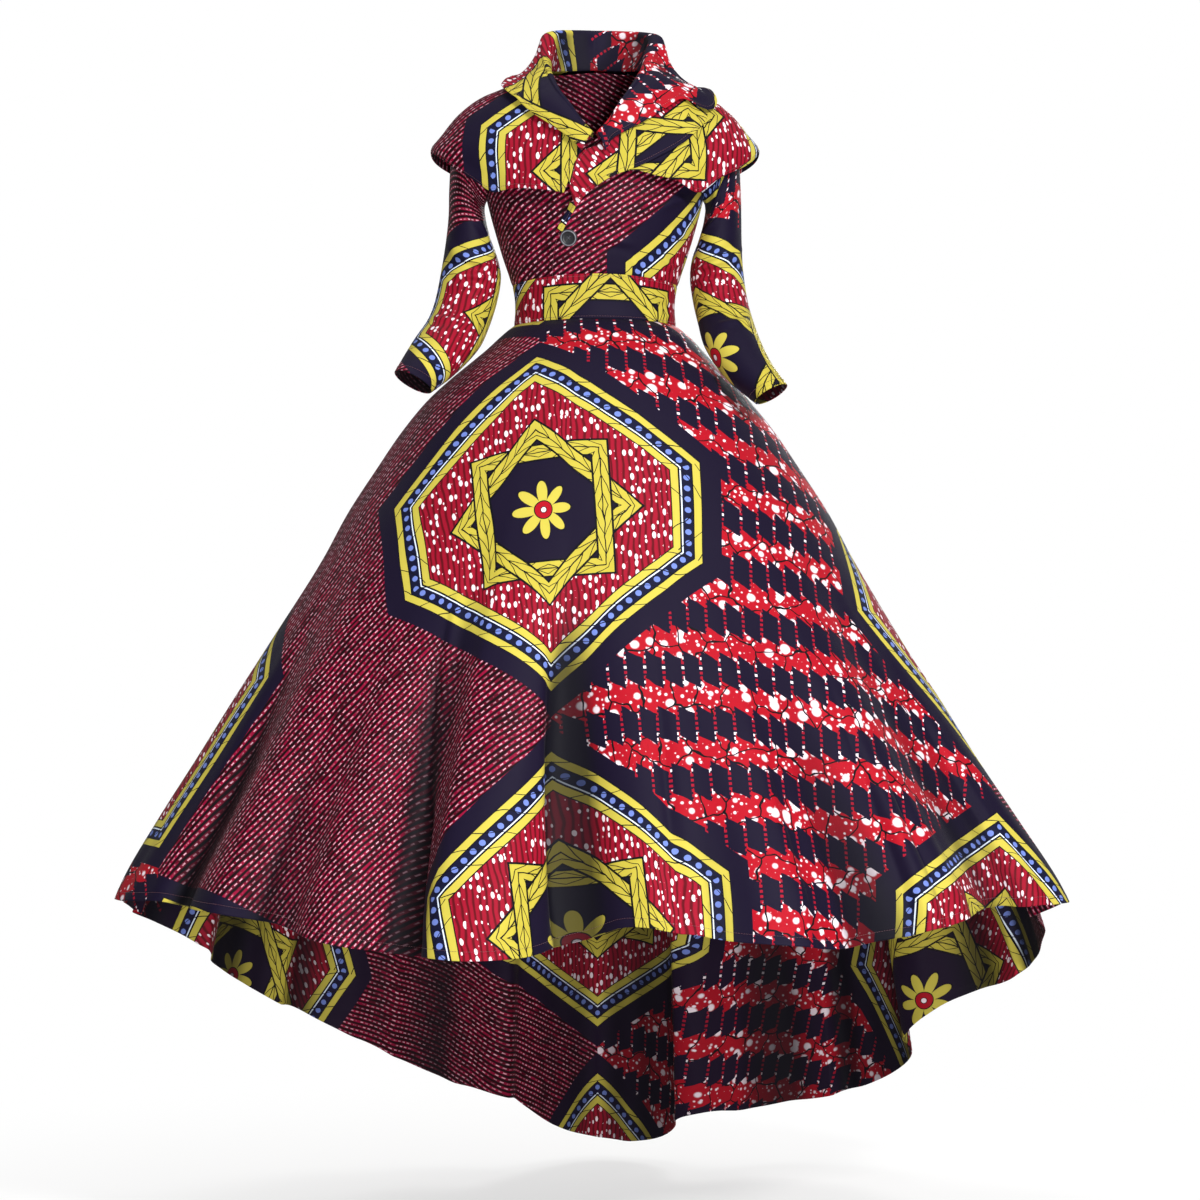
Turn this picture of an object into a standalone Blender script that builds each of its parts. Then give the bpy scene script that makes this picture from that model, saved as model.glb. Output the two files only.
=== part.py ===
# A high-low wax print dress on no wearer: wrap bodice, arched waistband, full skirt that drops at the
# back, three-quarter sleeves, a two-layer cape collar with shoulder wings, and a tall roll collar.
# Metres, +Z up, the front faces -Y and the wearer's left is +X. The origin is midway between the
# shoulders, level with the base of the neck, where the dress hangs from its wearer.
import math
from collections import namedtuple

import bmesh
import bpy
from mathutils import Vector

# ---- driving sizes ---------------------------------------------------------------------------------
CLOTH = 0.002  # wall: printed cotton with its seam allowances and interfacing
GAP = 0.0008  # from one panel's edge to the next at a seam, measured along the cloth
PLY = CLOTH + 0.0008  # one layer of cloth and the air above it

WAIST_TOP_FRONT = -0.2490  # upper edge of the waistband, arched up at the front
WAIST_TOP_SIDE = -0.2590
WAIST_LOW_FRONT = -0.3090  # lower edge of the waistband, where the skirt hangs
WAIST_LOW_SIDE = -0.3135
NECK_SIDE_Z = 0.0360  # neckline at the side of the neck
NECK_BACK_Z = 0.0450  # neckline at the centre back
ARMHOLE_TOP_Z = -0.0130  # shoulder point
ARMHOLE_LOW_Z = -0.1400  # underarm point
ARMHOLE_BITE = math.radians(29.0)  # how far the armhole cuts into the front and into the back
SLEEVE_SET_OUT = 0.0026  # sleeve head outside the armhole edge
CUFF_TILT = 0.75  # how level the sleeve's end is cut, from 0, square to the arm, to 1
BUTTON_X, BUTTON_Z = -0.0350, -0.2008
BUTTON_DIAMETER, BUTTON_THICK = 0.0240, 0.0042

# ---- tables, a row for each section, station or fold -------------------------------------------------
Section = namedtuple("Section", "z half_width front back")
BODY = [  # the bodice and the waistband
    Section(-0.3300, 0.1160, 0.0890, 0.0830),
    Section(-0.3135, 0.1125, 0.0860, 0.0805),
    Section(-0.2950, 0.1105, 0.0845, 0.0785),
    Section(-0.2700, 0.1120, 0.0870, 0.0790),
    Section(-0.2450, 0.1190, 0.0935, 0.0820),
    Section(-0.2200, 0.1275, 0.1020, 0.0865),
    Section(-0.1950, 0.1350, 0.1100, 0.0925),
    Section(-0.1650, 0.1435, 0.1165, 0.1000),
    Section(-0.1350, 0.1510, 0.1150, 0.1045),
    Section(-0.1050, 0.1575, 0.1090, 0.1055),
    Section(-0.0750, 0.1630, 0.0995, 0.1035),
    Section(-0.0450, 0.1655, 0.0895, 0.0980),
    Section(-0.0220, 0.1620, 0.0815, 0.0910),
    Section(-0.0080, 0.1530, 0.0765, 0.0850),
    Section(0.0030, 0.1370, 0.0705, 0.0790),
    Section(0.0120, 0.1180, 0.0655, 0.0730),
    Section(0.0200, 0.1000, 0.0610, 0.0670),
    Section(0.0280, 0.0830, 0.0560, 0.0620),
    Section(0.0360, 0.0665, 0.0500, 0.0555),
    Section(0.0420, 0.0560, 0.0455, 0.0510),
    Section(0.0480, 0.0480, 0.0400, 0.0460),
    Section(0.0540, 0.0420, 0.0350, 0.0410),
]
YOKE = [  # the form that the cape, the lapel and the collar's fall lie on, over the chest and the arms
    Section(-0.1700, 0.1720, 0.1330, 0.1120),
    Section(-0.1500, 0.1790, 0.1300, 0.1120),
    Section(-0.1300, 0.1900, 0.1265, 0.1120),
    Section(-0.1150, 0.2020, 0.1235, 0.1125),
    Section(-0.1000, 0.2140, 0.1195, 0.1125),
    Section(-0.0850, 0.2235, 0.1150, 0.1125),
    Section(-0.0720, 0.2250, 0.1105, 0.1120),
    Section(-0.0556, 0.2167, 0.1040, 0.1090),
    Section(-0.0375, 0.2040, 0.0965, 0.1035),
    Section(-0.0180, 0.1860, 0.0880, 0.0960),
    Section(0.0030, 0.1560, 0.0780, 0.0870),
    Section(0.0120, 0.1340, 0.0725, 0.0800),
    Section(0.0200, 0.1165, 0.0680, 0.0740),
    Section(0.0280, 0.0980, 0.0630, 0.0680),
    Section(0.0360, 0.0800, 0.0570, 0.0620),
    Section(0.0430, 0.0660, 0.0515, 0.0560),
    Section(0.0500, 0.0560, 0.0450, 0.0500),
]

Edge = namedtuple("Edge", "z angle")
NECKLINE = [  # how far round from the centre front the neckline has got at each height
    Edge(-0.0660, 1.0),
    Edge(-0.0470, 7.0),
    Edge(-0.0260, 13.0),
    Edge(0.0000, 23.0),
    Edge(0.0185, 38.0),
    Edge(0.0295, 58.0),
    Edge(0.0360, 84.0),
]
LAP = [  # front edge of the left front, which laps over the right one
    Edge(-0.2620, -33.0),
    Edge(-0.2510, -31.5),
    Edge(-0.2200, -27.5),
    Edge(-0.1980, -23.2),
    Edge(-0.1600, -14.0),
    Edge(-0.1150, -11.5),
    Edge(-0.0850, -6.0),
    Edge(-0.0660, 1.0),
]
UNDERLAP = [  # front edge of the right front, hidden under the left one
    Edge(-0.2620, 8.0),
    Edge(-0.1500, 9.0),
    Edge(-0.1000, 5.0),
    Edge(-0.0660, -1.0),
]

Drop = namedtuple("Drop", "below centre half_width front back")
SKIRT = [  # the skirt's sections, by how far each is below the waist seam
    Drop(0.000, 0.0000, 0.1125, 0.0860, 0.0805),
    Drop(0.018, 0.0000, 0.1330, 0.1060, 0.1000),
    Drop(0.033, -0.0010, 0.1480, 0.1200, 0.1130),
    Drop(0.048, -0.0030, 0.1640, 0.1340, 0.1260),
    Drop(0.075, -0.0060, 0.1940, 0.1580, 0.1460),
    Drop(0.103, -0.0090, 0.2215, 0.1770, 0.1640),
    Drop(0.145, -0.0095, 0.2560, 0.2000, 0.1860),
    Drop(0.200, -0.0095, 0.2935, 0.2250, 0.2110),
    Drop(0.260, -0.0095, 0.3325, 0.2480, 0.2380),
    Drop(0.325, -0.0095, 0.3675, 0.2720, 0.2640),
    Drop(0.437, -0.0105, 0.4350, 0.3130, 0.3080),
    Drop(0.520, -0.0090, 0.4865, 0.3420, 0.3400),
    Drop(0.603, -0.0070, 0.5370, 0.3700, 0.3720),
    Drop(0.687, -0.0045, 0.5900, 0.3970, 0.4040),
    Drop(0.770, -0.0010, 0.6400, 0.4250, 0.4360),
    Drop(0.830, 0.0010, 0.6640, 0.4420, 0.4570),
    Drop(0.950, 0.0030, 0.6960, 0.4700, 0.4960),
    Drop(1.080, 0.0030, 0.7260, 0.4900, 0.5300),
    Drop(1.230, 0.0030, 0.7500, 0.5100, 0.5650),
]

Hem = namedtuple("Hem", "angle z")
FRONT_HEM = [  # height of the front hem, by the angle from the centre front
    Hem(-90.0, -1.1060),
    Hem(-72.0, -1.1000),
    Hem(-58.0, -1.0990),
    Hem(-45.3, -1.1060),
    Hem(-34.7, -1.1260),
    Hem(-27.8, -1.1390),
    Hem(-19.7, -1.1480),
    Hem(-10.6, -1.1490),
    Hem(-6.9, -1.1450),
    Hem(-2.2, -1.1270),
    Hem(3.5, -1.1080),
    Hem(9.2, -1.1130),
    Hem(13.4, -1.1250),
    Hem(19.5, -1.1320),
    Hem(29.4, -1.1390),
    Hem(38.8, -1.1260),
    Hem(45.5, -1.1120),
    Hem(53.1, -1.1010),
    Hem(63.6, -1.1010),
    Hem(76.0, -1.1040),
    Hem(90.0, -1.1090),
]
BACK_HEM = [  # height of the back hem, by the angle from the centre back, + on the wearer's left
    Hem(-90.0, -1.1080),
    Hem(-72.8, -1.1450),
    Hem(-57.7, -1.2110),
    Hem(-43.7, -1.2800),
    Hem(-31.7, -1.3510),
    Hem(-18.6, -1.4220),
    Hem(-11.0, -1.4500),
    Hem(-4.7, -1.5080),
    Hem(1.5, -1.5320),
    Hem(7.5, -1.5220),
    Hem(11.7, -1.4760),
    Hem(18.4, -1.4710),
    Hem(25.5, -1.4550),
    Hem(33.3, -1.4270),
    Hem(39.0, -1.3910),
    Hem(44.5, -1.3300),
    Hem(48.7, -1.2920),
    Hem(60.3, -1.2370),
    Hem(74.4, -1.1480),
    Hem(90.0, -1.1100),
]

Fold = namedtuple("Fold", "angle half_width height starts")
FRONT_FOLDS = [  # flutes of the skirt: how far out each stands at the hem, and where it runs out upwards
    Fold(-77.0, 9.0, 0.016, 0.30),
    Fold(-63.0, 7.0, -0.016, 0.34),
    Fold(-50.0, 8.0, 0.014, 0.30),
    Fold(-40.5, 5.0, -0.014, 0.40),
    Fold(-32.0, 5.0, 0.012, 0.45),
    Fold(-22.5, 4.5, -0.028, 0.26),
    Fold(-13.5, 7.5, 0.026, 0.26),
    Fold(-2.0, 6.0, -0.034, 0.28),
    Fold(8.0, 5.0, 0.010, 0.45),
    Fold(13.5, 4.0, -0.012, 0.48),
    Fold(22.0, 7.0, 0.016, 0.40),
    Fold(34.0, 5.0, -0.014, 0.45),
    Fold(45.0, 7.0, 0.014, 0.32),
    Fold(58.0, 7.0, -0.016, 0.36),
    Fold(72.0, 8.0, 0.016, 0.30),
]
BACK_FOLDS = [
    Fold(-76.0, 8.0, 0.016, 0.30),
    Fold(-62.0, 7.0, -0.018, 0.32),
    Fold(-46.0, 10.0, 0.022, 0.25),
    Fold(-28.0, 8.0, -0.012, 0.45),
    Fold(-11.5, 6.0, -0.040, 0.20),
    Fold(0.5, 8.0, 0.034, 0.18),
    Fold(12.5, 5.5, -0.040, 0.20),
    Fold(29.0, 10.0, 0.030, 0.22),
    Fold(46.5, 6.0, -0.036, 0.24),
    Fold(62.0, 9.0, 0.020, 0.30),
    Fold(77.0, 7.0, -0.014, 0.36),
]

# A sleeve's section: its outer and inner points seen from the front, how far back its centre is, and
# half its depth. The right sleeve is the same with x turned round.
Cut = namedtuple("Cut", "outer_x outer_z inner_x inner_z y half_depth")
SLEEVE_HEAD = [
    Cut(0.1760, -0.0260, 0.1540, -0.1455, 0.001, 0.0505),
    Cut(0.1900, -0.0460, 0.1545, -0.1530, 0.002, 0.0500),
    Cut(0.1985, -0.0800, 0.1530, -0.1620, 0.003, 0.0480),
    Cut(0.2020, -0.1220, 0.1500, -0.1760, 0.004, 0.0455),
]
SLEEVE_LEFT = SLEEVE_HEAD + [
    Cut(0.2030, -0.1600, 0.1440, -0.1960, 0.004, 0.0440),
    Cut(0.2035, -0.1980, 0.1355, -0.2200, 0.004, 0.0430),
    Cut(0.2055, -0.2360, 0.1325, -0.2450, 0.004, 0.0415),
    Cut(0.2115, -0.2800, 0.1360, -0.2770, -0.003, 0.0395),
    Cut(0.2190, -0.3120, 0.1425, -0.3090, -0.023, 0.0385),
    Cut(0.2290, -0.3460, 0.1520, -0.3480, -0.064, 0.0370),
    Cut(0.2420, -0.3760, 0.1790, -0.3920, -0.103, 0.0345),
    Cut(0.2595, -0.4040, 0.2165, -0.4270, -0.136, 0.0310),
]
SLEEVE_RIGHT = SLEEVE_HEAD + [
    Cut(0.2030, -0.1600, 0.1440, -0.1960, 0.004, 0.0440),
    Cut(0.2070, -0.1980, 0.1355, -0.2200, 0.004, 0.0430),
    Cut(0.2130, -0.2360, 0.1310, -0.2450, 0.003, 0.0420),
    Cut(0.2215, -0.2800, 0.1365, -0.2810, -0.003, 0.0405),
    Cut(0.2310, -0.3090, 0.1475, -0.3180, -0.023, 0.0390),
    Cut(0.2470, -0.3380, 0.1610, -0.3500, -0.064, 0.0370),
    Cut(0.2600, -0.3640, 0.1920, -0.3870, -0.103, 0.0345),
    Cut(0.2700, -0.3860, 0.2205, -0.4120, -0.136, 0.0310),
]

# A station of a flat collar layer: its inner and outer points on the yoke form, as an angle from the
# centre front and a height, and how far its middle bows round. The right cape is turned over.
Leaf = namedtuple("Leaf", "in_angle in_z out_angle out_z bow")
CAPE_BACK = [
    Leaf(92.0, 0.0350, 96.0, -0.0740, 0.0),
    Leaf(108.0, 0.0355, 108.0, -0.0880, 0.0),
    Leaf(126.0, 0.0360, 126.0, -0.1080, 0.0),
    Leaf(150.0, 0.0370, 150.0, -0.1220, 0.0),
    Leaf(179.6, 0.0375, 179.7, -0.1260, 0.0),
]
CAPE_RIGHT = [
    Leaf(3.5, -0.0740, 13.2, -0.1429, 0.0),
    Leaf(7.5, -0.0570, 17.5, -0.1398, 0.0),
    Leaf(12.5, -0.0370, 26.3, -0.1362, 0.0),
    Leaf(20.0, -0.0160, 33.9, -0.1339, 0.0),
    Leaf(30.0, 0.0020, 41.6, -0.1354, 0.0),
    Leaf(40.0, 0.0140, 48.9, -0.1355, 0.0),
    Leaf(50.0, 0.0215, 57.6, -0.1101, 0.0),
    Leaf(62.0, 0.0280, 66.6, -0.0885, 0.0),
    Leaf(76.0, 0.0320, 79.0, -0.0760, 0.0),
    Leaf(84.0, 0.0340, 89.0, -0.0700, 0.0),
] + CAPE_BACK
CAPE_LEFT = [
    Leaf(1.5, -0.0790, -2.0, -0.1405, 0.0),
    Leaf(5.0, -0.0650, 4.1, -0.1267, 0.0),
    Leaf(9.5, -0.0470, 9.4, -0.1168, 0.0),
    Leaf(15.0, -0.0300, 15.9, -0.1122, 0.0),
    Leaf(22.0, -0.0120, 23.6, -0.1171, 0.0),
    Leaf(31.0, 0.0040, 33.9, -0.1228, 0.0),
    Leaf(40.0, 0.0145, 48.7, -0.1369, 0.0),
    Leaf(50.0, 0.0220, 56.9, -0.1116, 0.0),
    Leaf(62.0, 0.0280, 69.5, -0.0948, 0.0),
    Leaf(76.0, 0.0320, 81.0, -0.0765, 0.0),
    Leaf(84.0, 0.0340, 89.0, -0.0700, 0.0),
] + CAPE_BACK
LAPEL_LEFT = [
    Leaf(-3.4, -0.0830, -8.3, -0.1631, -4.2),
    Leaf(1.0, -0.0770, -3.7, -0.1468, -3.0),
    Leaf(5.0, -0.0640, 4.1, -0.1275, -1.0),
    Leaf(9.5, -0.0475, 11.2, -0.1149, 0.0),
    Leaf(15.0, -0.0300, 17.0, -0.1061, 0.0),
    Leaf(22.0, -0.0110, 24.6, -0.0890, 0.0),
    Leaf(30.0, 0.0030, 31.6, -0.0738, 0.0),
    Leaf(38.0, 0.0125, 40.0, -0.0545, 0.0),
    Leaf(46.0, 0.0185, 48.5, -0.0347, 0.0),
]

# A station of the roll collar: where its seam is on the neckline (angle from the centre front and
# height), the crest of its roll, half the roll's width, how far the fall sags in, and its edge.
Roll = namedtuple("Roll", "seam_angle seam_z x y z half sag edge_angle edge_z")
COLLAR_RIGHT = [
    Roll(1.0, -0.0660, 0.0035, -0.1175, -0.0610, 0.0026, -0.003, 4.1, -0.0874),
    Roll(7.0, -0.0470, 0.0185, -0.1090, -0.0430, 0.0030, -0.005, 7.5, -0.0720),
    Roll(13.0, -0.0260, 0.0340, -0.0970, -0.0205, 0.0034, -0.006, 14.4, -0.0533),
    Roll(23.0, 0.0000, 0.0495, -0.0815, 0.0005, 0.0040, -0.006, 24.0, -0.0340),
    Roll(38.0, 0.0185, 0.0585, -0.0590, 0.0190, 0.0050, -0.004, 31.0, -0.0210),
    Roll(58.0, 0.0295, 0.0650, -0.0310, 0.0380, 0.0065, 0.000, 38.5, -0.0090),
    Roll(84.0, 0.0360, 0.0665, -0.0010, 0.0600, 0.0090, 0.005, 57.0, 0.0060),
    Roll(105.0, 0.0385, 0.0655, 0.0250, 0.0825, 0.0125, 0.006, 86.0, 0.0215),
    Roll(130.0, 0.0415, 0.0540, 0.0440, 0.0905, 0.0130, 0.005, 116.0, 0.0160),
    Roll(155.0, 0.0440, 0.0260, 0.0570, 0.0940, 0.0120, 0.003, 148.0, 0.0080),
]
COLLAR_BACK = [Roll(180.0, 0.0450, 0.0000, 0.0620, 0.0945, 0.0115, 0.003, 180.0, 0.0050)]
COLLAR_LEFT = [
    Roll(1.0, -0.0660, 0.0035, -0.1175, -0.0610, 0.0026, -0.003, 3.2, -0.0874),
    Roll(7.0, -0.0470, 0.0190, -0.1090, -0.0430, 0.0030, -0.005, 5.5, -0.0707),
    Roll(13.0, -0.0260, 0.0335, -0.0970, -0.0190, 0.0034, -0.006, 12.0, -0.0565),
    Roll(23.0, 0.0000, 0.0480, -0.0820, 0.0020, 0.0040, -0.006, 21.1, -0.0400),
    Roll(38.0, 0.0185, 0.0595, -0.0590, 0.0210, 0.0050, -0.004, 30.6, -0.0248),
    Roll(58.0, 0.0295, 0.0695, -0.0310, 0.0400, 0.0065, 0.000, 40.8, -0.0135),
    Roll(84.0, 0.0360, 0.0755, -0.0010, 0.0600, 0.0100, 0.008, 52.0, -0.0270),
    Roll(105.0, 0.0385, 0.0845, 0.0230, 0.0790, 0.0135, 0.012, 79.0, 0.0020),
    Roll(130.0, 0.0415, 0.0710, 0.0450, 0.0880, 0.0130, 0.008, 112.0, 0.0080),
    Roll(155.0, 0.0440, 0.0350, 0.0590, 0.0930, 0.0120, 0.005, 148.0, 0.0040),
]


# ---- shared working-out ------------------------------------------------------------------------------
def read(table, value):
    """The row at a value of the table's first column, on a smooth curve through the rows."""
    rows = sorted(table)
    keys = [row[0] for row in rows]
    value = min(max(value, keys[0]), keys[-1])
    spot = max(i for i in range(len(rows) - 1) if keys[i] <= value)
    near, far = rows[spot], rows[spot + 1]
    span = keys[spot + 1] - keys[spot]
    t = (value - keys[spot]) / span
    mixed = []
    for column in range(len(near)):
        start, end = near[column], far[column]
        straight = (end - start) / span
        slope_in, slope_out = straight, straight
        if spot > 0:
            before = (start - rows[spot - 1][column]) / (keys[spot] - keys[spot - 1])
            slope_in = 0.5 * (before + straight)
        if spot + 2 < len(rows):
            after = (rows[spot + 2][column] - end) / (keys[spot + 2] - keys[spot + 1])
            slope_out = 0.5 * (after + straight)
        cubic = (2 * t**3 - 3 * t**2 + 1) * start + (3 * t**2 - 2 * t**3) * end
        cubic += span * ((t**3 - 2 * t**2 + t) * slope_in + (t**3 - t**2) * slope_out)
        mixed.append(cubic)
    return type(near)(*mixed)


def station(rows, place):
    """The row at a place counted along the table, 0 at its first row, on a smooth curve."""
    numbered = [(float(i),) + tuple(row) for i, row in enumerate(rows)]
    Numbered = namedtuple("Numbered", ("place",) + rows[0]._fields)
    return read([Numbered(*row) for row in numbered], place)


def ease(value):
    """A smooth rise from 0 to 1, held level on both sides."""
    value = min(max(value, 0.0), 1.0)
    return value * value * (3.0 - 2.0 * value)


def on_form(form, angle, z):
    """The point of a form at an angle in degrees from the centre front and a height."""
    section = read(form, z)
    turn = math.radians(angle)
    depth = section.front if math.cos(turn) > 0.0 else section.back
    return Vector((section.half_width * math.sin(turn), -depth * math.cos(turn), z))


def above_form(form, angle, z, out):
    """The same point, moved out square to the form."""
    point = on_form(form, angle, z)
    across = on_form(form, angle + 0.5, z) - on_form(form, angle - 0.5, z)
    up = on_form(form, angle, z + 0.001) - on_form(form, angle, z - 0.001)
    return point + across.cross(up).normalized() * out


def lift(form, point, least):
    """Move a point out until it is at least this far outside a form."""
    section = read(form, point.z)
    depth = section.front if point.y < 0.0 else section.back
    angle = math.degrees(math.atan2(point.x / section.half_width, -point.y / depth))
    surface = on_form(form, angle, point.z)
    normal = (above_form(form, angle, point.z, 1.0) - surface).normalized()
    short = least - (point - surface).dot(normal)
    return point + normal * max(short, 0.0)


def spread(first, last, count):
    """Evenly spaced values from the first to the last."""
    return [first + (last - first) * i / (count - 1) for i in range(count)]


def wall(name, grid, colour, closed=False, thick=CLOTH, roughness=0.75):
    """A closed wall about a grid of points, its outer face to the left of rows going up."""
    rows, columns = len(grid), len(grid[0])
    skins = ([], [])
    for r in range(rows):
        for c in range(columns):
            left = grid[r][(c - 1) % columns] if closed else grid[r][max(c - 1, 0)]
            right = grid[r][(c + 1) % columns] if closed else grid[r][min(c + 1, columns - 1)]
            along = grid[min(r + 1, rows - 1)][c] - grid[max(r - 1, 0)][c]
            normal = (right - left).cross(along).normalized()
            skins[0].append(grid[r][c] + normal * thick / 2)
            skins[1].append(grid[r][c] - normal * thick / 2)
    mesh = bpy.data.meshes.new(name)
    build = bmesh.new()
    sides = [[build.verts.new(point) for point in skin] for skin in skins]
    last = columns if closed else columns - 1
    for r in range(rows - 1):
        for c in range(last):
            a, b = r * columns + c, r * columns + (c + 1) % columns
            d, e = a + columns, b + columns
            for corners in ((a, b, e), (a, e, d)):
                build.faces.new([sides[0][i] for i in corners])
                build.faces.new([sides[1][i] for i in corners[::-1]])
    for r in (0, rows - 1):
        for c in range(last):
            a, b = r * columns + c, r * columns + (c + 1) % columns
            build.faces.new((sides[0][a], sides[1][a], sides[1][b], sides[0][b]))
    if not closed:
        for c in (0, columns - 1):
            for r in range(rows - 1):
                a, b = r * columns + c, (r + 1) * columns + c
                build.faces.new((sides[0][a], sides[0][b], sides[1][b], sides[1][a]))
    bmesh.ops.recalc_face_normals(build, faces=build.faces)
    build.to_mesh(mesh)
    build.free()
    mesh.shade_smooth()
    mesh.set_sharp_from_angle(angle=math.radians(40))
    return finish(name, mesh, colour, roughness)


def finish(name, mesh, colour, roughness):
    """Put a mesh in the scene as a named piece with its own material."""
    material = bpy.data.materials.new(name)
    material.use_nodes = True
    shader = material.node_tree.nodes["Principled BSDF"]
    shader.inputs["Base Color"].default_value = (*colour, 1.0)
    shader.inputs["Roughness"].default_value = roughness
    shader.inputs["Metallic"].default_value = 0.0
    mesh.materials.append(material)
    thing = bpy.data.objects.new(name, mesh)
    bpy.context.scene.collection.objects.link(thing)
    return thing


INDIGO, MAROON, RED = (0.013, 0.008, 0.034), (0.165, 0.012, 0.030), (0.610, 0.010, 0.014)
YELLOW, CHARCOAL = (0.760, 0.650, 0.070), (0.020, 0.020, 0.023)


# ---- bodice and waistband ----------------------------------------------------------------------------
def waist_top(angle):
    return WAIST_TOP_SIDE + (WAIST_TOP_FRONT - WAIST_TOP_SIDE) * math.cos(math.radians(angle)) ** 2


def waist_low(angle):
    return WAIST_LOW_SIDE + (WAIST_LOW_FRONT - WAIST_LOW_SIDE) * math.cos(math.radians(angle)) ** 2


def armhole_bite(z):
    """How far, in degrees, the armhole has cut into a panel at a height."""
    middle = (ARMHOLE_TOP_Z + ARMHOLE_LOW_Z) / 2
    reach = 1.0 - ((z - middle) / (ARMHOLE_TOP_Z - middle)) ** 2
    return math.degrees(ARMHOLE_BITE) * math.sqrt(max(reach, 0.0))


def bodice_heights(armhole_rows=9):
    """Row heights, close together where the armhole turns."""
    low = spread(WAIST_TOP_SIDE, ARMHOLE_LOW_Z, 5)[:-1]
    middle, half = (ARMHOLE_TOP_Z + ARMHOLE_LOW_Z) / 2, (ARMHOLE_TOP_Z - ARMHOLE_LOW_Z) / 2
    turns = [middle - half * math.cos(math.pi * i / (armhole_rows - 1)) for i in range(armhole_rows)]
    return low + turns + [0.0005, 0.0125, 0.0220, 0.0295, NECK_SIDE_Z]


def side_gap(z):
    """The angle that half a seam gap takes up at the side of the bodice."""
    return math.degrees(GAP / 2 / read(BODY, z).front)


def bodice_front(name, side, lap, tuck, colour):
    """A front panel. side is +1 for the wearer's left; lap gives its edge below the V."""
    grid = []
    for z in bodice_heights():
        edge = read(lap, z).angle if z < NECKLINE[0].z else side * read(NECKLINE, z).angle
        outer = side * (90.0 - armhole_bite(z) - side_gap(z))
        row = []
        for angle in spread(edge, outer, 10):
            height = z if z > WAIST_TOP_SIDE else waist_top(angle) + GAP
            under = ease((angle + 50.0) / 16.0) * ease((-0.036 - z) / 0.024)
            row.append(above_form(BODY, angle, height, -tuck * under))
        grid.append(row if side > 0 else row[::-1])
    return wall(name, grid, colour)


def bodice_back():
    grid = []
    for z in bodice_heights():
        start = 90.0 + armhole_bite(z) + side_gap(z)
        row = []
        for angle in spread(start, 360.0 - start, 19):
            height = z if z > WAIST_TOP_SIDE else waist_top(angle) + GAP
            if z > ARMHOLE_TOP_Z:
                share = (z - ARMHOLE_TOP_Z) / (NECK_SIDE_Z - ARMHOLE_TOP_Z)
                centre = ease((90.0 - abs(angle - 180.0)) / 90.0)
                height += share * centre * (NECK_BACK_Z - NECK_SIDE_Z)
            row.append(on_form(BODY, angle, height))
        grid.append(row)
    return wall("bodice_back", grid, MAROON)


def waistband(name, first, last, columns, colour):
    grid = []
    for share in spread(0.0, 1.0, 4):
        row = []
        for angle in spread(first, last, columns):
            low, top = waist_low(angle) + GAP / 2, waist_top(angle) - GAP / 4
            row.append(on_form(BODY, angle, low + (top - low) * share))
        grid.append(row)
    return wall(name, grid, colour)


# ---- skirt -------------------------------------------------------------------------------------------
def flute(folds, angle, share):
    """How far the folds push the skirt out at an angle, at a share of the way from waist to hem."""
    out = 0.0
    for fold in folds:
        away = (angle - fold.angle) / fold.half_width
        rise = ease((share - fold.starts) / (1.0 - fold.starts))
        out += fold.height * rise * math.exp(-0.5 * (1.6 * away) ** 2)
    return out


def skirt_point(angle, below, out):
    """A point of the skirt. The angle runs from the centre front, + to the wearer's left."""
    section = read(SKIRT, below)
    turn = math.radians(angle)
    depth = section.front if math.cos(turn) > 0.0 else section.back
    x = section.centre + (section.half_width + out) * math.sin(turn)
    return Vector((x, -(depth + out) * math.cos(turn), waist_low(angle) - below))


SKIRT_SHARES = (0.0, 0.022, 0.050, 0.090, 0.150, 0.230, 0.330, 0.45, 0.58, 0.70, 0.81, 0.91, 1.0)


def skirt(name, first, last, columns, hem, folds, turned, colour):
    """A skirt panel between two angles. turned is the angle its hem and fold tables count from."""
    grid = []
    for share in SKIRT_SHARES[::-1]:
        row = []
        trim = math.degrees(GAP / 2 / read(SKIRT, 0.8 * share).front)
        for angle in spread(first + trim, last - trim, columns):
            own = (angle - turned) * (1.0 if turned == 0.0 else -1.0)
            length = waist_low(angle) - read(hem, own).z
            below = GAP * 1.5 + (length - GAP * 1.5) * share
            row.append(skirt_point(angle, below, flute(folds, own, share)))
        grid.append(row)
    return wall(name, grid, colour)


# ---- sleeves -----------------------------------------------------------------------------------------
def armhole_point(turn):
    """A point of the left armhole. The turn runs from the shoulder point, down the front, and round."""
    middle, half = (ARMHOLE_TOP_Z + ARMHOLE_LOW_Z) / 2, (ARMHOLE_TOP_Z - ARMHOLE_LOW_Z) / 2
    angle = 90.0 - math.degrees(ARMHOLE_BITE) * math.sin(turn)
    return on_form(BODY, angle, middle + half * math.cos(turn))


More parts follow.
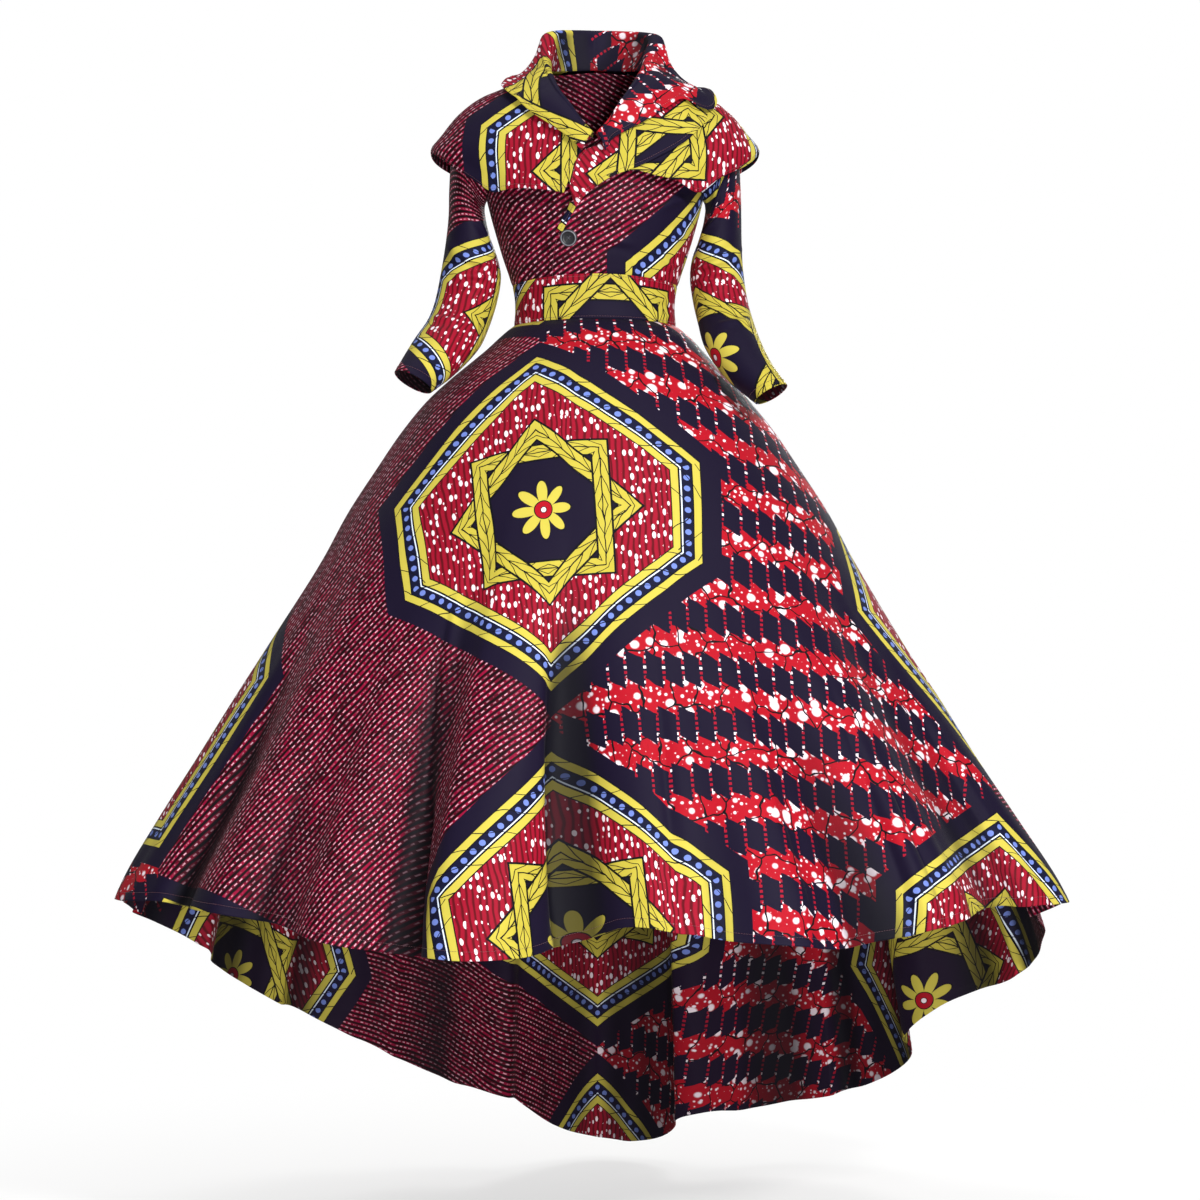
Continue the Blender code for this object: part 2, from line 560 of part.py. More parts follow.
def sleeve(name, side, cuts, colour, around=20):
    centres = [Vector(((c.outer_x + c.inner_x) / 2, c.y, (c.outer_z + c.inner_z) / 2)) for c in cuts]
    turns = [2 * math.pi * i / around for i in range(around)]
    rings = [[armhole_point(turn) + Vector((SLEEVE_SET_OUT, 0.0, 0.0)) for turn in turns]]
    for i, cut in enumerate(cuts):
        way = centres[min(i + 1, len(cuts) - 1)] - centres[max(i - 1, 0)]
        major = Vector((cut.outer_x - cut.inner_x, 0.0, cut.outer_z - cut.inner_z)) / 2
        square = major.cross(way).normalized()
        level = Vector((0.0, -1.0, 0.0))
        front = (square * (1.0 if square.y < 0.0 else -1.0)).lerp(level, CUFF_TILT * i / len(cuts))
        front = (front - major * front.dot(major) / major.length_squared).normalized()
        ring = []
        for turn in turns:
            ring.append(centres[i] + major * math.cos(turn) + front * cut.half_depth * math.sin(turn))
        rings.append(ring)
    grid = [[Vector((side * p.x, p.y, p.z)) for p in ring] for ring in rings]
    return wall(name, grid, colour, closed=True)


# ---- cape, lapel and collar --------------------------------------------------------------------------
def leaf_layer(name, side, rows, plies, columns, steps, colour):
    """A flat collar layer on the yoke form, from its inner edge to its outer one."""
    grid = []
    for share in spread(1.0, 0.0, steps):
        line = []
        for place in spread(0.0, len(rows) - 1.0, columns):
            leaf = station(rows, place)
            angle = leaf.in_angle + (leaf.out_angle - leaf.in_angle) * share
            angle += leaf.bow * math.sin(math.pi * share)
            z = leaf.in_z + (leaf.out_z - leaf.in_z) * share
            line.append(above_form(YOKE, side * angle, z, plies * PLY))
        grid.append(line if side > 0 else line[::-1])
    return wall(name, grid, colour)


def collar_section(roll, side):
    """Points across the collar, from the neck seam up the stand, over the roll and down the fall."""
    seam = above_form(BODY, side * roll.seam_angle, roll.seam_z + 0.003, 0.0015)
    crest = Vector((side * roll.x, roll.y, roll.z))
    edge = above_form(YOKE, side * roll.edge_angle, roll.edge_z, 2.3 * PLY)
    flat = Vector((edge.x - seam.x, edge.y - seam.y, 0.0)).normalized()
    up = Vector((0.0, 0.0, 1.0))
    inner, outer = crest - flat * roll.half, crest + flat * roll.half
    points = [seam, seam.lerp(inner, 0.55), inner]
    for turn in (45.0, 90.0, 135.0):
        swing = math.radians(turn)
        points.append(crest - flat * roll.half * math.cos(swing) + up * roll.half * math.sin(swing))
    points.append(outer)
    pull = outer.lerp(edge, 0.5) - (flat + up * 0.6) * roll.sag * 2.0
    for share in (0.24, 0.50, 0.76, 1.0):
        point = outer.lerp(pull, share).lerp(pull.lerp(edge, share), share)
        points.append(lift(YOKE, point, 2.7 * PLY) if point.z < 0.045 else point)
    return points


def collar(columns=37):
    """One strip from the right front end, round the back of the neck, to the left front end."""
    right = COLLAR_RIGHT + COLLAR_BACK
    left = COLLAR_LEFT + COLLAR_BACK
    sections = []
    for place in spread(0.0, 2.0, columns):
        if place <= 1.0:
            sections.append(collar_section(station(right, place * (len(right) - 1)), -1))
        else:
            sections.append(collar_section(station(left, (2.0 - place) * (len(left) - 1)), 1))
    count = len(sections[0])
    grid = [[section[i] for section in sections] for i in range(count)]
    return wall("collar", grid, RED)


# ---- button ------------------------------------------------------------------------------------------
def button():
    """A turned button: a flat back, a round rim, a raised ring and a shallow dished middle."""
    angle = math.degrees(math.asin(BUTTON_X / read(BODY, BUTTON_Z).half_width))
    seat = above_form(BODY, angle, BUTTON_Z, CLOTH / 2 + 0.0006)
    out = (above_form(BODY, angle, BUTTON_Z, 1.0) - on_form(BODY, angle, BUTTON_Z)).normalized()
    radius = BUTTON_DIAMETER / 2
    profile = [(0.86, 0.0), (1.0, 0.25), (1.0, 0.62), (0.93, 0.94), (0.84, 1.0), (0.74, 0.92),
               (0.66, 0.62), (0.40, 0.52)]
    sideways = out.cross(Vector((0.0, 0.0, 1.0))).normalized()
    upward = sideways.cross(out).normalized()
    mesh = bpy.data.meshes.new("button")
    build = bmesh.new()
    rings = []
    for share, height in profile:
        ring = []
        for i in range(20):
            turn = 2 * math.pi * i / 20
            around = (sideways * math.cos(turn) + upward * math.sin(turn)) * radius * share
            ring.append(build.verts.new(seat + around + out * BUTTON_THICK * height))
        rings.append(ring)
    for low, high in zip(rings, rings[1:]):
        for i in range(20):
            build.faces.new((low[i], low[(i + 1) % 20], high[(i + 1) % 20], high[i]))
    build.faces.new(rings[0][::-1])
    build.faces.new(rings[-1])
    bmesh.ops.recalc_face_normals(build, faces=build.faces)
    build.to_mesh(mesh)
    build.free()
    mesh.shade_smooth()
    mesh.set_sharp_from_angle(angle=math.radians(40))
    return finish("button", mesh, CHARCOAL, 0.35)


for old in list(bpy.data.objects):
    bpy.data.objects.remove(old, do_unlink=True)

side_seam = math.degrees(GAP / 2 / 0.086)
bodice_front("bodice_front_left", 1, LAP, 0.0, MAROON)
bodice_front("bodice_front_right", -1, UNDERLAP, 1.5 * PLY, MAROON)
bodice_back()
waistband("waistband_front", -90.0 + side_seam, 90.0 - side_seam, 25, YELLOW)
waistband("waistband_back", 90.0 + side_seam, 270.0 - side_seam, 25, INDIGO)
skirt("skirt_front", -90.0, 90.0, 57, FRONT_HEM, FRONT_FOLDS, 0.0, RED)
skirt("skirt_back_left", 90.0, 180.0, 27, BACK_HEM, BACK_FOLDS, 180.0, MAROON)
skirt("skirt_back_right", 180.0, 270.0, 27, BACK_HEM, BACK_FOLDS, 180.0, MAROON)
sleeve("sleeve_left", 1, SLEEVE_LEFT, RED)
sleeve("sleeve_right", -1, SLEEVE_RIGHT, MAROON)
leaf_layer("cape_left", 1, CAPE_LEFT, 0, 24, 9, YELLOW)
leaf_layer("cape_right", -1, CAPE_RIGHT, 0, 24, 9, MAROON)
leaf_layer("lapel_left", 1, LAPEL_LEFT, 1, 15, 7, YELLOW)
collar()
button()
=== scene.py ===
import functools
import math

import bpy
import numpy as np
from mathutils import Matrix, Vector


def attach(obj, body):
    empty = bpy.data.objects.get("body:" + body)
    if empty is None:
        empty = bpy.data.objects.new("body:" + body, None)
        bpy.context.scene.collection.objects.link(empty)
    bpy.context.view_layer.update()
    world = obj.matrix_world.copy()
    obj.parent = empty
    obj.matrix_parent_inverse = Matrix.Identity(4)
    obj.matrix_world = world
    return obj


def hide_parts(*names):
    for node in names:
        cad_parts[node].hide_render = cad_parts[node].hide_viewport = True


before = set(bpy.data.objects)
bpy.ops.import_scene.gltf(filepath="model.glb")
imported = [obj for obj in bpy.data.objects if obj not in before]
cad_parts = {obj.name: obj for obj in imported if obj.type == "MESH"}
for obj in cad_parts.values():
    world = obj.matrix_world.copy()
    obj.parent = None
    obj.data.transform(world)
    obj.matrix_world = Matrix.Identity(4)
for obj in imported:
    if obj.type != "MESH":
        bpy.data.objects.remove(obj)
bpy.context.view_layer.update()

# camera and studio come first; the camera looks level along +y
camera = {"distance": 5.0, "height": -0.694, "across": 0.007, "lens": 108.0, "sensor": 36.0}
studio = {
    "floorLevel": -1.56,
    "floorReach": 60.0,
    "floorColour": "#F7F6F5",
    "farColour": "#FFFFFF",
    "fadeFrom": 0.6,
    "fadeTo": 2.2,
    "worldStrength": 0.19,
    "lampsAim": (0.0, 0.0, -0.65),
}
# place, size, power
lamps = {
    "keyLight": ((2.2, -4.2, 1.9), 0.6, 236.0),
    "fillLight": ((-3.0, -3.6, 0.6), 2.4, 18.0),
    "topLight": ((-0.3, 0.0, 2.8), 2.0, 40.0),
    "leftBackLight": ((-3.0, 2.8, 0.8), 1.8, 12.0),
    "backLight": ((0.9, 4.8, 1.3), 1.4, 150.0),
    "lowLight": ((0.4, -3.6, -1.3), 1.2, 140.0),
    "rightBackLight": ((3.0, 3.0, 1.0), 1.8, 26.0),
}


def linearColour(code):
    # an sRGB hex value as linear red, green, blue and alpha
    parts = [int(code[i : i + 2], 16) / 255 for i in (1, 3, 5)]
    return tuple(p / 12.92 if p <= 0.04045 else ((p + 0.055) / 1.055) ** 2.4 for p in parts) + (1.0,)


def addNode(tree, kind, *inputs, pick=0, ramp=None, interpolation="CONSTANT", **settings):
    # one node of a kind with its mode after a space, or a Math node where only the mode is given;
    # inputs are values or sockets in order, or one dictionary
    kind, _, mode = ("Math " + kind if kind.isupper() else kind).partition(" ")
    node = tree.nodes.new(kind if "Node" in kind else "ShaderNode" + kind)
    if mode:
        settings["operation" if hasattr(node, "operation") else "blend_type"] = mode
    for key, value in settings.items():
        setattr(node, key, value)
    if ramp:
        node.color_ramp.interpolation = interpolation
        while len(node.color_ramp.elements) < len(ramp):
            node.color_ramp.elements.new(1.0)
        for element, (spot, name) in zip(node.color_ramp.elements, ramp):
            element.position = spot
            element.color = ink[name]
    named = inputs and isinstance(inputs[0], dict)
    for key, value in inputs[0].items() if named else enumerate(inputs):
        if isinstance(value, bpy.types.NodeSocket):
            tree.links.new(value, node.inputs[key])
        elif value is not None:
            node.inputs[key].default_value = value
    return node.outputs[pick] if len(node.outputs) else node


def newMaterial(name):
    material = bpy.data.materials.new(name)
    material.use_nodes = True
    material.node_tree.nodes.clear()
    return material, functools.partial(addNode, material.node_tree)


def addObject(name, data):
    piece = bpy.data.objects.new(name, data)
    bpy.context.scene.collection.objects.link(piece)
    return piece


def addMesh(name, points, faces, edges=()):
    mesh = bpy.data.meshes.new(name)
    mesh.from_pydata(points, edges, faces)
    return addObject(name, mesh)


def markPoints(mesh, name, values):
    mesh.attributes.new(name, "FLOAT", "POINT").data.foreach_set("value", values.astype(np.float32))


def placeCamera():
    data = bpy.data.cameras.new("camera")
    data.lens, data.sensor_width = camera["lens"], camera["sensor"]
    data.clip_end = 50.0
    eye = addObject("camera", data)
    eye.location = (camera["across"], -camera["distance"], camera["height"])
    eye.rotation_euler = (math.radians(90.0), 0.0, 0.0)
    bpy.context.scene.camera = eye


def whiteToCamera(add):
    # full white where the camera sees it, and dim where it lights the dress
    dim = studio["worldStrength"]
    return add("MULTIPLY_ADD", add("LightPath"), 1.0 - dim, dim)


def buildStudio():
    # a pale floor that fades into the white all round it, a dim white surround, and soft lamps
    reach, level = studio["floorReach"], studio["floorLevel"]
    corners = [(-reach, -reach), (reach, -reach), (reach, reach), (-reach, reach)]
    floor = addMesh("floor", [(x, y, level) for x, y in corners], [(0, 1, 2, 3)])
    material, add = newMaterial("matt paper floor")
    away = add("VectorMath LENGTH", add("TexCoord", pick=3), pick=1)
    fade = {"Value": away, "From Min": studio["fadeFrom"], "From Max": studio["fadeTo"]}
    far = add("MapRange", fade, interpolation_type="SMOOTHSTEP")
    white = linearColour(studio["farColour"])
    paper = add("BsdfDiffuse", linearColour(studio["floorColour"]))
    glow = add("Emission", white, whiteToCamera(add))
    add("OutputMaterial", add("MixShader", far, paper, glow))
    floor.data.materials.append(material)
    world = bpy.data.worlds.new("studio")
    bpy.context.scene.world = world
    world.use_nodes = True
    world.node_tree.nodes.clear()
    add = functools.partial(addNode, world.node_tree)
    add("OutputWorld", add("Background", white, whiteToCamera(add)))
    for name, (place, size, power) in lamps.items():
        data = bpy.data.lights.new(name, "AREA")
        data.size, data.energy = size, power
        lamp = addObject(name, data)
        lamp.location = place
        aim = Vector(studio["lampsAim"]) - Vector(place)
        lamp.rotation_euler = aim.to_track_quat("-Z", "Y").to_euler()
    bpy.context.scene.view_settings.view_transform = "Standard"


placeCamera()
buildStudio()
print("camera and studio placed")


def drafted(units, rows):
    # rows drafted in millimetres (m), degrees (d) and hundredths (h), with the lengths turned into metres
    if isinstance(rows, dict):
        return {name: drafted(units, part) for name, part in rows.items()}
    parts = {"m": 1000.0, "d": 1.0, "h": 100.0}
    return [tuple(value / parts[code] for code, value in zip(units, row)) for row in rows]


# height, half width, front depth, back depth
bodyForm = drafted("mmmm", [
    (-330, 116, 89, 83), (-313.5, 112.5, 86, 80.5), (-295, 110.5, 84.5, 78.5), (-270, 112, 87, 79),
    (-245, 119, 93.5, 82), (-220, 127.5, 102, 86.5), (-195, 135, 110, 92.5), (-165, 143.5, 116.5, 100),
    (-135, 151, 115, 104.5), (-105, 157.5, 109, 105.5), (-75, 163, 99.5, 103.5), (-45, 165.5, 89.5, 98),
    (-22, 162, 81.5, 91), (-8, 153, 76.5, 85), (3, 137, 70.5, 79), (12, 118, 65.5, 73), (20, 100, 61, 67),
    (28, 83, 56, 62), (36, 66.5, 50, 55.5), (42, 56, 45.5, 51), (48, 48, 40, 46), (54, 42, 35, 41),
])
# the form that the cape, lapel and collar lie on, read the same way
yokeForm = drafted("mmmm", [
    (-170, 172, 133, 112), (-150, 179, 130, 112), (-130, 190, 126.5, 112), (-115, 202, 123.5, 112.5),
    (-100, 214, 119.5, 112.5), (-85, 223.5, 115, 112.5), (-72, 225, 110.5, 112), (-55.6, 216.7, 104, 109),
    (-37.5, 204, 96.5, 103.5), (-18, 186, 88, 96), (3, 156, 78, 87), (12, 134, 72.5, 80),
    (20, 116.5, 68, 74), (28, 98, 63, 68), (36, 80, 57, 62), (43, 66, 51.5, 56), (50, 56, 45, 50),
])
# height, angle round from the centre front
neckline = drafted("md", [
    (-66, 1), (-47, 7), (-26, 13), (0, 23), (18.5, 38), (29.5, 58), (36, 84),
])
lapEdge = drafted("md", [
    (-262, -33), (-251, -31.5), (-220, -27.5), (-198, -23.2), (-160, -14), (-115, -11.5), (-85, -6),
    (-66, 1),
])
underlapEdge = drafted("md", [
    (-262, 8), (-150, 9), (-100, 5), (-66, -1),
])
# below the waist seam, centre, half width, front depth, back depth
skirtDrops = drafted("mmmmm", [
    (0, 0, 112.5, 86, 80.5), (18, 0, 133, 106, 100), (33, -1, 148, 120, 113), (48, -3, 164, 134, 126),
    (75, -6, 194, 158, 146), (103, -9, 221.5, 177, 164), (145, -9.5, 256, 200, 186),
    (200, -9.5, 293.5, 225, 211), (260, -9.5, 332.5, 248, 238), (325, -9.5, 367.5, 272, 264),
    (437, -10.5, 435, 313, 308), (520, -9, 486.5, 342, 340), (603, -7, 537, 370, 372),
    (687, -4.5, 590, 397, 404), (770, -1, 640, 425, 436), (830, 1, 664, 442, 457), (950, 3, 696, 470, 496),
    (1080, 3, 726, 490, 530), (1230, 3, 750, 510, 565),
])
# angle, height
frontHem = drafted("dm", [
    (-90, -1106), (-72, -1100), (-58, -1099), (-45.3, -1106), (-34.7, -1126), (-27.8, -1139),
    (-19.7, -1148), (-10.6, -1149), (-6.9, -1145), (-2.2, -1127), (3.5, -1108), (9.2, -1113), (13.4, -1125),
    (19.5, -1132), (29.4, -1139), (38.8, -1126), (45.5, -1112), (53.1, -1101), (63.6, -1101), (76, -1104),
    (90, -1109),
])
backHem = drafted("dm", [
    (-90, -1108), (-72.8, -1145), (-57.7, -1211), (-43.7, -1280), (-31.7, -1351), (-18.6, -1422),
    (-11, -1450), (-4.7, -1508), (1.5, -1532), (7.5, -1522), (11.7, -1476), (18.4, -1471), (25.5, -1455),
    (33.3, -1427), (39, -1391), (44.5, -1330), (48.7, -1292), (60.3, -1237), (74.4, -1148), (90, -1110),
])
# angle, half width, height at the hem, where it starts
frontFolds = drafted("ddmh", [
    (-77, 9, 16, 30), (-63, 7, -16, 34), (-50, 8, 14, 30), (-40.5, 5, -14, 40), (-32, 5, 12, 45),
    (-22.5, 4.5, -28, 26), (-13.5, 7.5, 26, 26), (-2, 6, -34, 28), (8, 5, 10, 45), (13.5, 4, -12, 48),
    (22, 7, 16, 40), (34, 5, -14, 45), (45, 7, 14, 32), (58, 7, -16, 36), (72, 8, 16, 30),
])
backFolds = drafted("ddmh", [
    (-76, 8, 16, 30), (-62, 7, -18, 32), (-46, 10, 22, 25), (-28, 8, -12, 45), (-11.5, 6, -40, 20),
    (0.5, 8, 34, 18), (12.5, 5.5, -40, 20), (29, 10, 30, 22), (46.5, 6, -36, 24), (62, 9, 20, 30),
    (77, 7, -14, 36),
])
# outer x and z, inner x and z, centre y, half depth
sleeveHead = drafted("mmmmmm", [
    (176, -26, 154, -145.5, 1, 50.5), (190, -46, 154.5, -153, 2, 50), (198.5, -80, 153, -162, 3, 48),
    (202, -122, 150, -176, 4, 45.5),
])
sleeveLeft = sleeveHead + drafted("mmmmmm", [
    (203, -160, 144, -196, 4, 44), (203.5, -198, 135.5, -220, 4, 43), (205.5, -236, 132.5, -245, 4, 41.5),
    (211.5, -280, 136, -277, -3, 39.5), (219, -312, 142.5, -309, -23, 38.5),
    (229, -346, 152, -348, -64, 37), (242, -376, 179, -392, -103, 34.5),
    (259.5, -404, 216.5, -427, -136, 31),
])
sleeveRight = sleeveHead + drafted("mmmmmm", [
    (203, -160, 144, -196, 4, 44), (207, -198, 135.5, -220, 4, 43), (213, -236, 131, -245, 3, 42),
    (221.5, -280, 136.5, -281, -3, 40.5), (231, -309, 147.5, -318, -23, 39),
    (247, -338, 161, -350, -64, 37), (260, -364, 192, -387, -103, 34.5), (270, -386, 220.5, -412, -136, 31),
])
# inner angle and height, outer angle and height, bow
capeBack = drafted("dmdmd", [
    (92, 35, 96, -74, 0), (108, 35.5, 108, -88, 0), (126, 36, 126, -108, 0), (150, 37, 150, -122, 0),
    (179.6, 37.5, 179.7, -126, 0),
])
capeRight = drafted("dmdmd", [
    (3.5, -74, 13.2, -142.9, 0), (7.5, -57, 17.5, -139.8, 0), (12.5, -37, 26.3, -136.2, 0),
    (20, -16, 33.9, -133.9, 0), (30, 2, 41.6, -135.4, 0), (40, 14, 48.9, -135.5, 0),
    (50, 21.5, 57.6, -110.1, 0), (62, 28, 66.6, -88.5, 0), (76, 32, 79, -76, 0), (84, 34, 89, -70, 0),
]) + capeBack
capeLeft = drafted("dmdmd", [
    (1.5, -79, -2, -140.5, 0), (5, -65, 4.1, -126.7, 0), (9.5, -47, 9.4, -116.8, 0),
    (15, -30, 15.9, -112.2, 0), (22, -12, 23.6, -117.1, 0), (31, 4, 33.9, -122.8, 0),
    (40, 14.5, 48.7, -136.9, 0), (50, 22, 56.9, -111.6, 0), (62, 28, 69.5, -94.8, 0),
    (76, 32, 81, -76.5, 0), (84, 34, 89, -70, 0),
]) + capeBack
lapelLeft = drafted("dmdmd", [
    (-3.4, -83, -8.3, -163.1, -4.2), (1, -77, -3.7, -146.8, -3), (5, -64, 4.1, -127.5, -1),
    (9.5, -47.5, 11.2, -114.9, 0), (15, -30, 17, -106.1, 0), (22, -11, 24.6, -89, 0),
    (30, 3, 31.6, -73.8, 0), (38, 12.5, 40, -54.5, 0), (46, 18.5, 48.5, -34.7, 0),
])
# seam angle and height, the roll's x y z and half width, sag, edge angle and height
collarRight = drafted("dmmmmmmdm", [
    (1, -66, 3.5, -117.5, -61, 2.6, -3, 4.1, -87.4), (7, -47, 18.5, -109, -43, 3, -5, 7.5, -72),
    (13, -26, 34, -97, -20.5, 3.4, -6, 14.4, -53.3), (23, 0, 49.5, -81.5, 0.5, 4, -6, 24, -34),
    (38, 18.5, 58.5, -59, 19, 5, -4, 31, -21), (58, 29.5, 65, -31, 38, 6.5, 0, 38.5, -9),
    (84, 36, 66.5, -1, 60, 9, 5, 57, 6), (105, 38.5, 65.5, 25, 82.5, 12.5, 6, 86, 21.5),
    (130, 41.5, 54, 44, 90.5, 13, 5, 116, 16), (155, 44, 26, 57, 94, 12, 3, 148, 8),
])
collarBack = drafted("dmmmmmmdm", [
    (180, 45, 0, 62, 94.5, 11.5, 3, 180, 5),
])
collarLeft = drafted("dmmmmmmdm", [
    (1, -66, 3.5, -117.5, -61, 2.6, -3, 3.2, -87.4), (7, -47, 19, -109, -43, 3, -5, 5.5, -70.7),
    (13, -26, 33.5, -97, -19, 3.4, -6, 12, -56.5), (23, 0, 48, -82, 2, 4, -6, 21.1, -40),
    (38, 18.5, 59.5, -59, 21, 5, -4, 30.6, -24.8), (58, 29.5, 69.5, -31, 40, 6.5, 0, 40.8, -13.5),
    (84, 36, 75.5, -1, 60, 10, 8, 52, -27), (105, 38.5, 84.5, 23, 79, 13.5, 12, 79, 2),
    (130, 41.5, 71, 45, 88, 13, 8, 112, 8), (155, 44, 35, 59, 93, 12, 5, 148, 4),
])

# heights and lengths, angles in degrees, and shares; the reaches turn a seam's gap into an angle
cut = {
    "waistTopFront": -0.249,
    "waistTopSide": -0.259,
    "waistLowFront": -0.309,
    "waistLowSide": -0.3135,
    "neckSide": 0.036,
    "neckBack": 0.045,
    "armholeTop": -0.013,
    "armholeLow": -0.14,
    "armholeBite": 29.0,
    "armholeGap": 0.12,
    "cuffTilt": 0.75,
    "seamGap": 0.0003,
    "ply": 0.0028,
    "waistReach": 0.086,
    "hemReach": 0.6,
    "hairline": 0.0001,
    "skirtStart": 0.0004,
    "sleeveStart": 0.0006,
    "foldGain": 1.24,
    "foldSteepness": 1.6,
    "crowding": 2.6,
    "crowdReach": 0.022,
}
armholeMiddle = (cut["armholeTop"] + cut["armholeLow"]) / 2
armholeHalf = (cut["armholeTop"] - cut["armholeLow"]) / 2
cloth = {
    "thickness": 0.0009,
    "hemWidth": 0.011,
    "hemExtra": 0.0007,
    "hemOutside": 0.3,
    "hemSoft": 0.0012,
    "seamSink": 0.0009,
    "seamReach": 0.003,
    "creaseGain": 2.3,
    "creaseFade": 0.35,
    "troughDepth": 0.4,
    "troughOffset": 1.9,
    "troughWidth": 1.2,
    "breakPower": 1.6,
}


def readTable(rows, value):
    # a smooth curve through a table's rows, read at many values of its first column
    rows = np.array(sorted(rows), float)
    keys = rows[:, 0]
    value = np.clip(np.asarray(value, float), keys[0], keys[-1])
    spot = np.clip(np.searchsorted(keys, value, "right") - 1, 0, len(keys) - 2)
    secant = np.diff(rows, axis=0) / np.diff(keys)[:, None]
    slope = np.vstack([secant[:1], (secant[:-1] + secant[1:]) / 2, secant[-1:]])
    span = (keys[spot + 1] - keys[spot])[..., None]
    t = (value - keys[spot])[..., None] / span
    start = (2 * t**3 - 3 * t**2 + 1) * rows[spot] + (3 * t**2 - 2 * t**3) * rows[spot + 1]
    return start + span * ((t**3 - 2 * t**2 + t) * slope[spot] + (t**3 - t**2) * slope[spot + 1])


def readStations(rows, place):
    # the same, by a place counted along the rows; the answer leaves the place out
    return readTable([(float(i), *row) for i, row in enumerate(rows)], place)[..., 1:]


def ease(value):
    value = np.clip(value, 0.0, 1.0)
    return value * value * (3.0 - 2.0 * value)


def unit(vectors):
    return vectors / np.maximum(np.linalg.norm(vectors, axis=-1, keepdims=True), 1e-12)


def onForm(form, angle, z):
    # points of a form at angles in degrees from the centre front, and heights
    angle, z = np.broadcast_arrays(np.asarray(angle, float), np.asarray(z, float))
    section, turn = readTable(form, z), np.radians(angle)
    depth = np.where(np.cos(turn) > 0, section[..., 2], section[..., 3])
    return np.stack([section[..., 1] * np.sin(turn), -depth * np.cos(turn), z], -1)


def formNormal(form, angle, z):
    across = onForm(form, angle + 0.5, z) - onForm(form, angle - 0.5, z)
    up = onForm(form, angle, z + 0.001) - onForm(form, angle, z - 0.001)
    return unit(np.cross(across, up))


def aboveForm(form, angle, z, out):
    out = np.asarray(out, float)[..., None]
    return onForm(form, angle, z) + formNormal(form, angle, z) * out


def liftOff(form, points, least):
    # points moved out until they are at least this far outside a form
    section = readTable(form, points[..., 2])
    depth = np.where(points[..., 1] < 0, section[..., 2], section[..., 3])
    angle = np.degrees(np.arctan2(points[..., 0] / section[..., 1], -points[..., 1] / depth))
    normal = formNormal(form, angle, points[..., 2])
    short = least - ((points - onForm(form, angle, points[..., 2])) * normal).sum(-1)
    return points + normal * np.maximum(short, 0.0)[..., None]


def smoothRows(grid, count):
    # a coarse grid made fine along its rows, on smooth curves through them
    lengths = np.linalg.norm(np.diff(grid, axis=0), axis=2).mean(1)
    place = np.concatenate([[0.0], np.cumsum(lengths)])
    flat = grid.reshape(len(grid), -1)
    table = [(p, *row) for p, row in zip(place, flat)]
    fine = readTable(table, np.linspace(0.0, place[-1], count))[:, 1:]
    return fine.reshape(count, *grid.shape[1:])


def waistEdge(edge, angle):
    # height of the waistband's top or low edge, which arches up to the front and the back
    side, front = cut[edge + "Side"], cut[edge + "Front"]
    return side + (front - side) * np.cos(np.radians(angle)) ** 2


def armholeBite(z):
    reach = 1.0 - ((z - armholeMiddle) / (cut["armholeTop"] - armholeMiddle)) ** 2
    return cut["armholeBite"] * np.sqrt(np.maximum(reach, 0.0))


def bodiceHeights():
    # rows close together where the armhole turns
    low = np.linspace(cut["waistTopSide"], cut["armholeLow"], 40, endpoint=False)
    turns = armholeMiddle - armholeHalf * np.cos(np.linspace(0.0, math.pi, 44))
    high = np.linspace(cut["armholeTop"], cut["neckSide"], 14)[1:]
    return np.concatenate([low, turns, high])[:, None]


def aboveWaist(angle, z):
    # the rows under the armhole spread down to the waistband's arched edge
    low = waistEdge("waistTop", angle) + cut["seamGap"]
    share = (z - cut["waistTopSide"]) / (cut["armholeLow"] - cut["waistTopSide"])
    return np.where(z < cut["armholeLow"], low + (cut["armholeLow"] - low) * share, z)


def bodiceFront(side, lap, tuck, columns=80):
    z = bodiceHeights()
    neck = side * readTable(neckline, z)[..., 1]
    edge = np.where(z < neckline[0][0], readTable(lap, z)[..., 1], neck)
    outer = side * (90.0 - armholeBite(z) - cut["armholeGap"])
    angle = edge + (outer - edge) * np.linspace(0.0, 1.0, columns)[None, :]
    z = aboveWaist(angle, z)
    # the underlap sinks in where the lap covers it, below the neckline and across the middle
    under = ease((angle + 50.0) / 16.0) * ease((-0.036 - z) / 0.024)
    grid = aboveForm(bodyForm, angle, z, -tuck * under)
    return grid if side > 0 else grid[:, ::-1]


def bodiceBack(columns=120):
    z = bodiceHeights()
    start = 90.0 + armholeBite(z) + cut["armholeGap"]
    angle = start + (360.0 - 2 * start) * np.linspace(0.0, 1.0, columns)[None, :]
    z = aboveWaist(angle, z)
    share = np.clip((z - cut["armholeTop"]) / (cut["neckSide"] - cut["armholeTop"]), 0.0, 1.0)
    centre = ease((90.0 - abs(angle - 180.0)) / 90.0)
    return onForm(bodyForm, angle, z + share * centre * (cut["neckBack"] - cut["neckSide"]))


def waistband(first, last, columns=120, rows=22):
    angle = np.linspace(first, last, columns)[None, :]
    low = waistEdge("waistLow", angle) + cut["hairline"]
    top = waistEdge("waistTop", angle) - cut["hairline"]
    return onForm(bodyForm, angle, low + (top - low) * np.linspace(0.0, 1.0, rows)[:, None])


def flutes(folds, angle, share):
    # how far the folds push the skirt out at a share of the way from waist to hem
    out = 0.0
    for middle, width, height, starts in folds:
        rise = cut["foldGain"] * ease((share - starts) / (1.0 - starts))
        away = cut["foldSteepness"] * (angle - middle) / width
        out = out + height * rise * np.exp(-0.5 * away**2)
    return out


